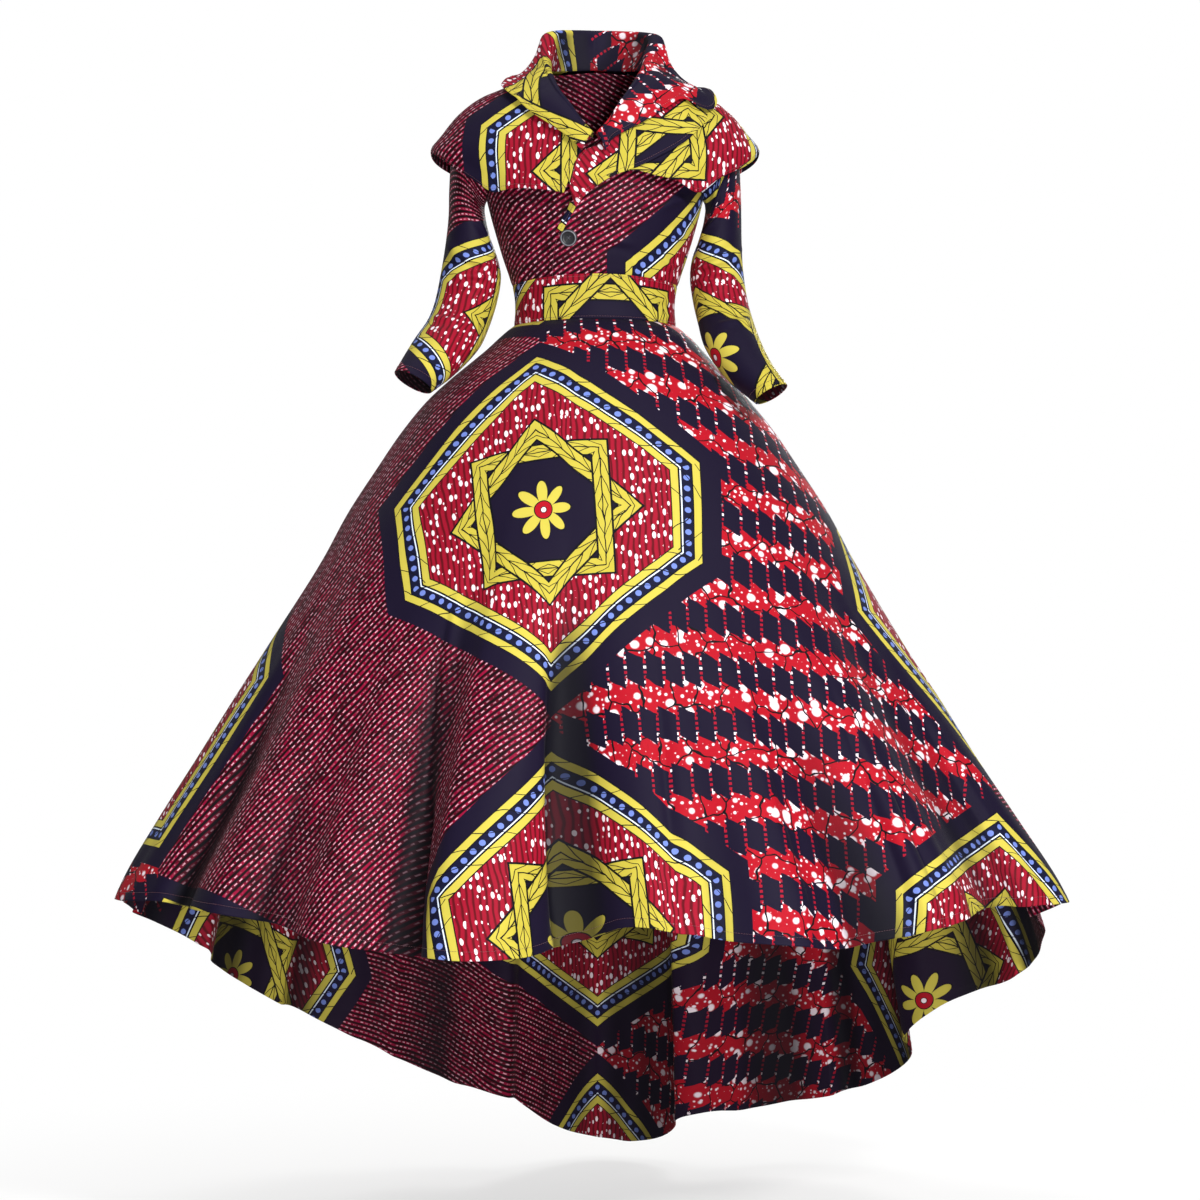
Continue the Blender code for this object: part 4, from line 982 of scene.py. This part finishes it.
def waxPrint():
    # Wax printed cotton: plain weave, calendered, so colour is flat and deep with a faint wax sheen.
    material, add = newMaterial("wax printed cotton")
    place = add("UVMap", uv_map="cut")
    u = add("SeparateXYZ", place)
    v = u.node.outputs[1]
    across, up = wax["acrossRepeat"], wax["upRepeat"]
    x = add("ABSOLUTE", add("WRAP", u, across / 2, -across / 2))
    y = add("ABSOLUTE", add("WRAP", v, up / 2, -up / 2))
    # distance from the six-sided frame, minus inside, and the length run along it
    side, top, corner = wax["sideReach"], wax["topReach"], wax["cornerHeight"]
    length = math.hypot(top - corner, side)
    leanX, leanY = (top - corner) / length, side / length
    slant = add("MULTIPLY_ADD", y, leanY, add("MULTIPLY_ADD", x, leanX, -leanY * top))
    upright = add("SUBTRACT", x, side)
    away = add("MAXIMUM", slant, upright)
    onSlant = add("GREATER_THAN", slant, upright)
    along = add("MULTIPLY_ADD", y, leanX, add("MULTIPLY", x, -leanY))
    along = add("MULTIPLY_ADD", add("SUBTRACT", along, y), onSlant, y)
    # the frame's stripes, dots and cross veins
    inward = add("MULTIPLY", away, -1.0 / wax["frameWidth"])
    stripes = [(0.0, "black"), (0.024, "yellow"), (0.212, "black"), (0.244, "navy")]
    stripes += [(0.508, "paleBlue"), (0.544, "black"), (0.592, "yellow"), (0.78, "black")]
    frameColour = add("ValToRGB", inward, ramp=stripes)
    dotRun = add("WRAP", along, wax["dotPitch"] / 2, -wax["dotPitch"] / 2)
    dot = add("CombineXYZ", dotRun, add("ADD", away, wax["dotDepth"]))
    dot = add("LESS_THAN", add("VectorMath LENGTH", dot, pick=1), wax["dotRadius"])
    frameColour = add("MixRGB", dot, frameColour, ink["blue"])
    drift = add("TexNoise", {"Vector": place, "Scale": 24.0, "Detail": 0.0})
    crossing = add("MULTIPLY_ADD", drift, 0.03, add("MULTIPLY_ADD", away, 1.2, along))
    crossing = veins(add, crossing, wax["crossVeinPitch"], 0.0009)
    frameColour = add("MixRGB", crossing, frameColour, ink["black"])
    # grounds: slanting pinstripes on one side of each column of medallions, seed bands on the other
    half = add("SINE", add("MULTIPLY", u, math.pi / across))
    half = add("GREATER_THAN", half, 0.0)
    colour = add("MixRGB", half, pinstripes(add, place), seedBands(add, place, u, v))
    for mask, layer in (
        (add("LESS_THAN", away, wax["plainStrip"]), ink["indigo"]),
        (add("LESS_THAN", away, 0.0), frameColour),
        (add("GREATER_THAN", inward, wax["fieldStart"]), speckledField(add, place, u)),
    ):
        colour = add("MixRGB", mask, colour, layer)
    colour = starMedallion(add, place, x, y, colour)
    # the print comes through a little duller on the wrong side, and painted shade darkens it towards black
    # where a fold is deep, standing in for the shade there, which the light of a room hardly reaches
    for name, share, tone in (("wrongSide", 0.12, "dulled"), ("foldDepth", wax["foldShade"], "black")):
        amount = add("MULTIPLY", add("Attribute", attribute_name=name, pick=2), share)
        colour = add("MixRGB", amount, colour, ink[tone])
    # real threads are 0.4 mm apart; drawn three times as coarse, so that they show at all
    beat = 2 * math.pi / wax["weavePitch"]
    warp, weft = [add("SINE", add("MULTIPLY", way, beat)) for way in (u, v)]
    weave = add("MULTIPLY", warp, weft)
    patch = add("TexNoise", {"Vector": place, "Scale": 9.0, "Detail": 3.0})
    shader = add("BsdfPrincipled", {
        "Base Color": colour,
        "Roughness": add("MULTIPLY_ADD", patch, 0.16, 0.54),
        "Normal": add("Bump", {"Strength": 0.22, "Distance": 0.0002, "Height": weave}),
        "Specular IOR Level": 0.1,
        "Sheen Weight": 0.02,
        "Sheen Roughness": 0.45,
    })
    add("OutputMaterial", shader)
    return material


printedCotton = waxPrint()
print("wax print mixed")


# where each piece was cut from the print: across, up, and turned by degrees
layout = {
    "bodice_front_left": (-0.223, 0.057, 0.0),
    "bodice_front_right": (-0.327, 0.2, 0.0),
    "bodice_back": (-0.33, 0.19, 0.0),
    "waistband_front": (-0.02, 0.048, 0.0),
    "waistband_back": (0.66, 0.05, 0.0),
    "skirt_front": (0.085, 0.31, -4.0),
    "skirt_back_left": (0.66, 0.33, 0.0),
    "skirt_back_right": (0.66, 0.33, 0.0),
    "sleeve_left": (0.1, 0.4, 180.0),
    "sleeve_right": (-0.206, 0.319, 180.0),
    "cape_left": (0.02, -0.09, 0.0),
    "cape_right": (-0.184, -0.022, -15.0),
    "lapel_left": (-0.03, 0.06, -35.0),
    "collar": (0.11, 0.196, 58.0),
}
# creases pressed in by wear, in each piece's cut: start across and up, end across and up, half width,
# height outwards, sideways bow
creases = drafted("mmmmmmm", {
    "bodice_front_left": [
        (-62, 56, 24, 88, 4.6, 1.3, 6), (-58, 45, 36, 40, 5.2, 1.1, -4), (-50, 64, -12, 104, 3.8, 1, -5),
        (124, 108, 58, 90, 6.2, 1.6, 6), (122, 72, 70, 60, 5.5, 1.3, -5), (108, -4, 62, 34, 4.8, 1.5, 4),
        (36, -6, 14, 28, 4.2, 1.2, 3), (80, 18, 118, 30, 4, 1, 2),
    ],
    "bodice_front_right": [
        (-20, 50, -62, 76, 5, 1.3, 4), (-118, 98, -56, 92, 6, 1.5, -6), (-116, 60, -70, 46, 5, 1.2, 4),
        (-98, -4, -50, 30, 4.6, 1.4, -3),
    ],
    "bodice_back": [
        (-74, -80, -66, 112, 1.9, -1.6, 0), (74, -80, 66, 112, 1.9, -1.6, 0), (-52, 22, 46, 30, 7, 1.9, -6),
        (-34, 46, 60, 42, 6.4, 1.4, 5), (122, 86, 82, 52, 6, 1.6, 5), (-120, 80, -86, 40, 5.8, 1.5, -4),
        (-100, 132, -40, 148, 8, 1.4, 8), (104, 140, 50, 150, 8, 1.3, -6),
    ],
    "waistband_front": [
        (-128, 20, -66, 26, 4, 0.9, 3), (64, 36, 132, 28, 4.4, 0.9, -3), (92, 10, 140, 16, 3.6, 0.8, 2),
    ],
    "waistband_back": [
        (-110, 18, -30, 24, 4.6, 1, 3), (20, 34, 104, 28, 4.6, 1, -4),
    ],
    "sleeve_left": [
        (10, 226, 112, 240, 6.2, 2.6, 7), (28, 250, 108, 254, 5.6, 2.2, -4), (0, 206, 84, 214, 6, 1.8, -6),
        (36, 272, 100, 286, 6.2, 1.5, 6), (40, 4, 74, 70, 7, 1.8, 8), (84, 10, 104, 100, 6.2, 1.6, -8),
        (-30, 6, -50, 60, 7, 1.6, -6), (-104, 120, -30, 150, 7.5, 1.6, 9), (-108, 236, -50, 222, 7, 1.4, 6),
        (20, 330, 86, 352, 7, 1.4, -6), (-70, 340, -12, 322, 7.2, 1.2, 6), (50, 140, 112, 168, 7, 1.5, 8),
    ],
    "sleeve_right": [
        (-12, 220, -110, 236, 6.2, 2.6, -7), (-30, 246, -106, 248, 5.4, 2.1, 4),
        (-4, 200, -80, 206, 6.2, 1.8, 6), (-34, 268, -102, 284, 6.2, 1.5, -6),
        (-38, 6, -70, 76, 7, 1.8, -8), (-86, 12, -106, 94, 6.2, 1.6, 8), (34, 4, 50, 66, 7, 1.6, 6),
        (100, 128, 34, 156, 7.5, 1.6, -9), (106, 228, 52, 218, 7, 1.4, -6), (-18, 322, -84, 346, 7, 1.4, 6),
        (68, 332, 16, 318, 7.2, 1.2, -6), (-52, 132, -108, 160, 7, 1.5, -8),
    ],
})
# softer folds that hang from or spread to a piece's lower edge: where along it, half width, height
# outwards, how far up they reach, and how they lean, all but the height as shares of the piece
ripples = drafted("hhmhh", {
    "skirt_front": [
        (3, 1.2, 5, 62, 0), (8.2, 0.9, -4.5, 48, 1), (12.8, 1.3, 6, 80, 0), (17.8, 1, -5, 55, 0),
        (23.2, 0.9, 4.5, 42, -1), (29.2, 1.2, -5.5, 70, 0), (33.4, 0.8, 4, 36, 0), (37.2, 1, -7.5, 86, 0),
        (40.4, 0.9, 8.5, 88, 0), (44.6, 1.1, 5, 60, 1), (47.8, 0.9, -8, 82, 0), (51.2, 0.8, 4.5, 44, 0),
        (55.6, 1.2, 6, 74, 0), (59.2, 0.8, -4, 40, 0), (64, 1, 5.5, 66, -1), (67.2, 0.9, -5, 52, 0),
        (72.4, 1.3, 5.5, 78, 0), (77.6, 0.9, -4.5, 46, 1), (83.4, 1.1, 6, 68, 0), (88, 0.9, -5, 50, 0),
        (93, 1.2, 5, 72, 0), (96.8, 0.8, -4, 38, 0), (41.5, 3, 4, 100, 2), (62, 3.4, 4.5, 100, -2),
        (23.5, 3.4, 4, 100, 1), (80, 3, -3.5, 100, 0),
    ],
    "skirt_back_left": [
        (5, 2, 6, 70, 0), (13.5, 1.6, -6, 58, 1), (21.5, 2.4, 7.5, 85, 0), (30, 1.6, -5.5, 50, 0),
        (39.5, 2, 6.5, 66, -1), (47, 1.5, -5, 44, 0), (56, 2.4, 7, 90, 0), (64, 1.8, -6.5, 62, 0),
        (74.5, 2, 6, 76, 1), (81.5, 1.4, -5, 48, 0), (90, 1.8, 7, 82, 0), (96, 1.4, -5, 60, 0),
        (33, 6, 6, 100, 0), (70, 5.5, 6, 100, 2),
    ],
    "skirt_back_right": [
        (4.2, 1.6, -5, 56, 0), (11, 2, 7, 84, 0), (19.5, 1.6, -6, 52, 0), (27, 2.2, 6.5, 72, 1),
        (35.2, 1.5, -5, 46, 0), (43, 2.2, 7.5, 92, 0), (52.5, 1.8, -6, 60, -1), (61, 2, 6, 68, 0),
        (70, 1.5, -5.5, 50, 0), (78.5, 2.4, 7, 80, 0), (86.5, 1.6, -5.5, 54, 0), (94.5, 1.8, 6, 66, 0),
        (30, 5.5, 6, 100, -1), (66, 6, 6, 100, 0),
    ],
    "cape_left": [
        (15, 4, 1.6, 90, 2), (31, 3, -1.4, 70, 0), (47, 4.5, 2.2, 95, -3), (64, 3.5, -1.6, 75, 0),
        (78, 4.5, 2, 85, 2), (91, 3, -1.4, 60, 0),
    ],
    "cape_right": [
        (10, 3.2, -1.4, 66, 0), (24, 4.5, 2, 90, -2), (38, 3.4, -1.6, 70, 0), (54, 4.5, 2.2, 95, 2),
        (70, 3, -1.4, 72, 0), (85, 4, 1.6, 85, -2),
    ],
    "lapel_left": [
        (30, 9, 1.2, 90, 5), (62, 8, -1, 70, 0), (86, 7, 1.2, 80, 0),
    ],
})
# folds that break sharply on one side: where along the hem, width of the left and the right side of the
# trough, depth, how far up it reaches, and lean
breaks = drafted("hhhmhh", {
    "skirt_front": [
        (38.6, 4, 0.4, 28, 66, -6), (48.1, 0.4, 3.6, 26, 62, -3), (55.6, 3.6, 0.65, 18, 56, 1.5),
        (71.6, 3, 0.6, 16, 48, 4), (74, 0.5, 1.6, 10, 40, 4), (26.2, 3.6, 0.8, 14, 52, -1),
        (14.5, 0.8, 4, 13, 50, 1), (64, 0.7, 2.6, 12, 44, 1), (86, 3.4, 0.8, 13, 50, 0),
        (93, 0.8, 2.6, 10, 40, 0),
    ],
    "skirt_back_left": [
        (12, 7, 1.2, 22, 60, 1), (33, 1.2, 7, 20, 55, 0), (52, 6, 1.2, 18, 50, 1), (69, 1.2, 6, 20, 62, 0),
        (88, 6, 1.2, 20, 66, -1),
    ],
    "skirt_back_right": [
        (13, 1.2, 6, 20, 64, 1), (29, 6, 1.2, 18, 52, 0), (46, 1.2, 7, 20, 58, -1), (68, 7, 1.2, 22, 60, 0),
        (86, 1.2, 5, 16, 48, 0),
    ],
})
# the strip of facing that rolls out between the lapel's tip and the button
frontFacing = {"width": 0.0105, "low": 0.058, "high": 0.1, "across": 0.384, "up": 0.012}
# edges that lift off what lies under them: edge, height, how far in
curls = {
    "cape_left": [("bottom", 0.0034, 0.03)],
    "cape_right": [("bottom", 0.0034, 0.03)],
    "lapel_left": [("bottom", 0.0042, 0.028)],
    "collar": [("top", 0.0034, 0.02)],
}
wear = {"creases": creases, "ripples": ripples, "breaks": breaks, "curls": curls, "place": layout}


def sewPiece(name, grid, flat, held, restsOn=(), **work):
    work.update((word, table[name]) for word, table in wear.items() if name in table)
    shell = shells[name] = sewShell(name + "_cloth", grid, flat, **work)
    piece = shell["piece"]
    piece.data.materials.append(printedCotton)
    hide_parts(name)
    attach(piece, "root")


allSides = ("bottom", "left", "right", "top")


def sewBodice():
    left = bodiceFront(1, lapEdge, 0.0)
    right = bodiceFront(-1, underlapEdge, 1.5 * cut["ply"])
    back = bodiceBack()
    for name, grid, key, hems, seams, facing in (
        ("bodice_front_left", left, left[..., 0] - 0.03, ("left",), ("bottom", "right", "top"), frontFacing),
        ("bodice_front_right", right, right[..., 0] + 0.03, ("right",), ("bottom", "left", "top"), None),
        ("bodice_back", back, -back[..., 0], (), allSides, None),
    ):
        sewPiece(name, grid, stripCut(grid, key=key), "hung", hems=hems, seams=seams, facing=facing)


def sewWaistband():
    gap = math.degrees(cut["seamGap"] / 2 / cut["waistReach"])
    for name, first in (("waistband_front", -90.0), ("waistband_back", 90.0)):
        grid = waistband(first + gap, first + 180.0 - gap)
        sewPiece(name, grid, stripCut(grid, column=60), "stretched", seams=allSides)


def sewSkirt():
    # each panel's angles, columns and rows, its hem and folds, what their angles count back from, and
    # the share across it that lies upright in the cut
    for name, first, last, columns, count, hem, folds, turned, centre in (
        ("skirt_front", -90.0, 90.0, 300, 150, frontHem, frontFolds, 0.0, 0.5),
        ("skirt_back_left", 90.0, 180.0, 180, 176, backHem, backFolds, 180.0, 1.0),
        ("skirt_back_right", 180.0, 270.0, 180, 176, backHem, backFolds, 180.0, 0.0),
    ):
        gap = math.degrees(cut["seamGap"] / 2 / cut["hemReach"])
        across = crowdedShares(columns, [row[0] + 0.3 * row[5] for row in breaks[name]])
        grid = skirtPanel(first + gap, last - gap, across, count, hem, folds, turned)
        flat = fanCut(grid, int(abs(across - centre).argmin()), 0)
        edges = {"hems": ("bottom",), "seams": ("top", "left", "right")}
        sewPiece(name, grid, flat, "hung", along=across, fold=(0.07, -0.001, 0.015), **edges)


def sewSleeves():
    edges = {"closed": True, "hems": ("top",), "seams": ("bottom",)}
    for name, side, cuts in (("sleeve_left", 1, sleeveLeft), ("sleeve_right", -1, sleeveRight)):
        grid = sleeveTube(side, cuts)
        sewPiece(name, grid, stripCut(grid, column=48, closed=True), "hung", **edges)


def sewYoke():
    # each layer's grid, the column that stays upright, what it rests on, and its hems and seams
    capes, collarEdges = ["cape_left_cloth", "cape_right_cloth"], ("top", "left", "right")
    left, right = leafLayer(1, capeLeft, 0, 190, 52), leafLayer(-1, capeRight, 0, 190, 52)
    lapel = leafLayer(1, lapelLeft, 1, 100, 44)
    for name, grid, column, held, under, hems, seams in (
        ("cape_left", left, 52, "draped", ["bodice_back_cloth"], ("bottom", "left"), ("top", "right")),
        ("cape_right", right, 130, "draped", ["bodice_back_cloth"], ("bottom", "right"), ("top", "left")),
        ("lapel_left", lapel, 50, "draped", capes[:1], ("bottom", "left", "right"), ("top",)),
        ("collar", collarStrip(), 105, "folded", capes, collarEdges, ("bottom",)),
    ):
        sewPiece(name, grid, layFlat(grid, column), held, restsOn=under, hems=hems, seams=seams)


shells = {}
sewBodice()
sewWaistband()
sewSkirt()
sewSleeves()
sewYoke()

stitching = {
    "stitchLength": 0.0026,
    "stitchGap": 0.001,
    "threadRadius": 0.00027,
    "threadColour": "#4A0E1E",
    "hemInset": 0.0115,
    "edgeInset": 0.0055,
    "bandInset": 0.0028,
    "proud": 0.0001,
}


def sewingThread(colour):
    # Polyester sewing thread: fine and twisted, with a low soft lustre that reads as a dotted line.
    material, add = newMaterial("polyester sewing thread")
    look = {"Base Color": linearColour(colour), "Roughness": 0.45, "Sheen Weight": 0.2}
    add("OutputMaterial", add("BsdfPrincipled", look))
    return material


def stitchTree(thread):
    tree = bpy.data.node_groups.new("stitches along edges", "GeometryNodeTree")
    tree.interface.new_socket("Geometry", in_out="INPUT", socket_type="NodeSocketGeometry")
    for name in ("Stitch Length", "Gap", "Thread Radius"):
        tree.interface.new_socket(name, in_out="INPUT", socket_type="NodeSocketFloat")
    tree.interface.new_socket("Geometry", in_out="OUTPUT", socket_type="NodeSocketGeometry")
    add = functools.partial(addNode, tree)
    given = add("NodeGroupInput").node.outputs
    pitch = add("ADD", given["Stitch Length"], given["Gap"])
    lines = add("GeometryNodeMeshToCurve", given["Geometry"])
    lines = add("GeometryNodeResampleCurve", {"Curve": lines, "Length": pitch}, mode="LENGTH")
    form = {"Vertices": 6, "Radius": given["Thread Radius"], "Depth": given["Stitch Length"]}
    stitch = add("GeometryNodeMeshCylinder", form)
    along = add("FunctionNodeAlignRotationToVector", {"Vector": add("GeometryNodeInputTangent")}, axis="Z")
    rows = add("GeometryNodeInstanceOnPoints", {"Points": lines, "Instance": stitch, "Rotation": along})
    rows = add("GeometryNodeRealizeInstances", rows)
    rows = add("GeometryNodeSetMaterial", {"Geometry": rows, "Material": thread})
    add("NodeGroupOutput", rows)
    return tree


def sewTopstitching():
    hem, edge, band = stitching["hemInset"], stitching["edgeInset"], stitching["bandInset"]
    rows = [(name, "bottom", hem) for name in ("skirt_front", "skirt_back_left", "skirt_back_right")]
    rows += [(name, "top", hem) for name in ("sleeve_left", "sleeve_right")]
    for name in ("waistband_front", "waistband_back"):
        rows += [(name, "top", band), (name, "bottom", band)]
    rows += [("cape_left", "bottom", edge), ("cape_left", "left", edge), ("cape_right", "bottom", edge)]
    rows += [("cape_right", "right", edge), ("lapel_left", "bottom", edge), ("lapel_left", "left", edge)]
    rows += [("collar", "top", edge), ("bodice_front_left", "left", edge)]
    points, edges = [], []
    for name, side, inset in rows:
        path = pathInFrom(shells[name], side, inset)
        edges += [(len(points) + i, len(points) + i + 1) for i in range(len(path) - 1)]
        points += path.tolist()
    lines = addMesh("stitchLines", points, [], edges)
    modifier = lines.modifiers.new("stitches", "NODES")
    modifier.node_group = stitchTree(sewingThread(stitching["threadColour"]))
    given = {"Stitch Length": "stitchLength", "Gap": "stitchGap", "Thread Radius": "threadRadius"}
    for socket in modifier.node_group.interface.items_tree:
        if socket.in_out == "INPUT" and socket.name in given:
            modifier[socket.identifier] = stitching[given[socket.name]]
    graph = bpy.context.evaluated_depsgraph_get()
    made = bpy.data.meshes.new_from_object(lines.evaluated_get(graph))
    piece = addObject("topstitching", made)
    bpy.data.objects.remove(lines)
    made.shade_smooth()
    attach(piece, "root")
    print("topstitching sewn:", len(made.polygons), "faces")


sewTopstitching()

buttonForm = {
    "x": -0.035,
    "z": -0.2008,
    "radius": 0.012,
    "thick": 0.0042,
    "seat": 0.0016,
    "holeRadius": 0.00115,
    "holeSpread": 0.0021,
    "holeDepth": 0.0016,
    "around": 72,
    "darkColour": "#0C0D11",
    "streakColour": "#1C1D24",
    # the grey of a painted highlight on the rim's crest
    "paintedRimHighlightColour": "#7F828A",
    "strandRadius": 0.00026,
    "strandDive": 0.0018,
    "strandSteps": 13,
    "strandSides": 8,
    "threadColour": "#3A3B45",
}
# share of the radius, share of the thickness
buttonProfile = [
    (0.0, 0.5), (0.4, 0.5), (0.6, 0.54), (0.68, 0.7), (0.75, 0.93), (0.84, 1.0), (0.93, 0.93),
    (0.985, 0.78), (1.0, 0.6), (1.0, 0.28), (0.96, 0.1), (0.86, 0.0),
]


def hornButton():
    # Polished dark resin like horn: faint streaks, a painted grey highlight along the rim's crest, and a
    # clear coat, so the ring catches a thin light.
    material, add = newMaterial("polished dark resin")
    names = ("darkColour", "streakColour", "paintedRimHighlightColour")
    dark, streaked, grey = [linearColour(buttonForm[name]) for name in names]
    streak = add("Mapping", {"Vector": add("TexCoord", pick=3), "Scale": (120.0, 120.0, 900.0)})
    streak = add("TexNoise", {"Vector": streak, "Scale": 1.0, "Detail": 2.0})
    colour = add("MixRGB", streak, dark, streaked)
    # the rim's crest painted grey as a highlight
    colour = add("MixRGB", add("Attribute", attribute_name="paintedRimHighlight", pick=2), colour, grey)
    coat = {"Coat Weight": 0.15, "Coat Roughness": 0.12}
    add("OutputMaterial", add("BsdfPrincipled", {"Base Color": colour, "Roughness": 0.42, **coat}))
    return material


def makeButton():
    z, half = np.array(buttonForm["z"]), readTable(bodyForm, buttonForm["z"])[1]
    angle = np.degrees(np.arcsin(buttonForm["x"] / half))
    out = formNormal(bodyForm, angle, z)
    centre = aboveForm(bodyForm, angle, z, buttonForm["seat"])
    sideways = unit(np.cross(np.array([0.0, 0.0, 1.0]), out))
    upward = np.cross(out, sideways)
    spots = np.concatenate([np.linspace(0.0, 2.0, 24)[1:], np.linspace(2.0, 11.0, 32)[1:]])
    fine = readStations(buttonProfile, spots)
    turns = np.linspace(0.0, 2 * math.pi, buttonForm["around"], endpoint=False)
    radius = np.clip(fine[:, :1], 0.0, 1.0) * buttonForm["radius"]
    x, y = radius * np.cos(turns), radius * np.sin(turns)
    height = fine[:, 1:] * buttonForm["thick"] + 0 * x
    spread = buttonForm["holeSpread"]
    for hx, hy in ((1, 1), (-1, 1), (-1, -1), (1, -1)):
        away = np.hypot(x - hx * spread, y - hy * spread) / buttonForm["holeRadius"]
        sunk = height - buttonForm["holeDepth"] * ease((1.15 - away) / 0.3)
        height = np.where(fine[:, :1] < 0.5, sunk, height)
    points = centre + x[..., None] * sideways + y[..., None] * upward + height[..., None] * out
    index = numbered(*x.shape) + 1
    after = np.roll(index, -1, 1)
    faces = np.stack([index[:-1], index[1:], after[1:], after[:-1]], -1).reshape(-1, 4).tolist()
    top = centre + out * buttonForm["thick"] * buttonProfile[0][1]
    faces += [(0, int(a), int(b)) for a, b in zip(index[0], after[0])]
    faces.append([int(i) for i in index[-1][::-1]])
    piece = addMesh("sewnButton", [top.tolist()] + points.reshape(-1, 3).tolist(), faces)
    mesh = piece.data
    # a painted highlight: grey along the crest of the raised rim
    paintedRimHighlight = np.exp(-(((fine[:, :1] - 0.84) / 0.055) ** 2)) * (fine[:, 1:] > 0.8) + 0 * x
    markPoints(mesh, "paintedRimHighlight", np.append(0.0, paintedRimHighlight.ravel()))
    mesh.shade_smooth()
    mesh.materials.append(hornButton())
    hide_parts("button")
    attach(piece, "root")
    print("button made:", len(mesh.polygons), "faces")
    tieButton(lambda x, y, z: centre + np.outer(x, sideways) + np.outer(y, upward) + np.outer(z, out))


def tieButton(onButton):
    # two doubled strands cross between the holes and dive into them
    radius, spread = buttonForm["strandRadius"], buttonForm["holeSpread"]
    steps, sides = buttonForm["strandSteps"], buttonForm["strandSides"]
    turns = np.linspace(0.0, 2 * math.pi, sides, endpoint=False)
    seat = buttonForm["thick"] * buttonProfile[0][1] + 0.7 * radius
    points, faces = [], []
    for way, rise in ((1.0, 0.0), (-1.0, 2.0 * radius)):
        for shift in (-radius, radius):
            for s in np.linspace(-1.0, 1.0, steps):
                aside = (shift + radius * np.cos(turns)) * math.sqrt(0.5)
                height = seat + rise * (1.0 - s * s) + radius * np.sin(turns)
                height = height - buttonForm["strandDive"] * ease((abs(s) - 0.8) / 0.25)
                points.append(onButton(spread * s - way * aside, way * spread * s + aside, height))
            rings = numbered(steps, sides) + sides * (len(points) - steps)
            after = np.roll(rings, -1, 1)
            faces += np.stack([rings[:-1], after[:-1], after[1:], rings[1:]], -1).reshape(-1, 4).tolist()
            faces += [rings[0][::-1].tolist(), rings[-1].tolist()]
    piece = addMesh("buttonThread", np.concatenate(points).tolist(), faces)
    mesh = piece.data
    mesh.shade_smooth()
    mesh.materials.append(sewingThread(buttonForm["threadColour"]))
    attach(piece, "root")
    print("button tied:", len(mesh.polygons), "faces")


makeButton()
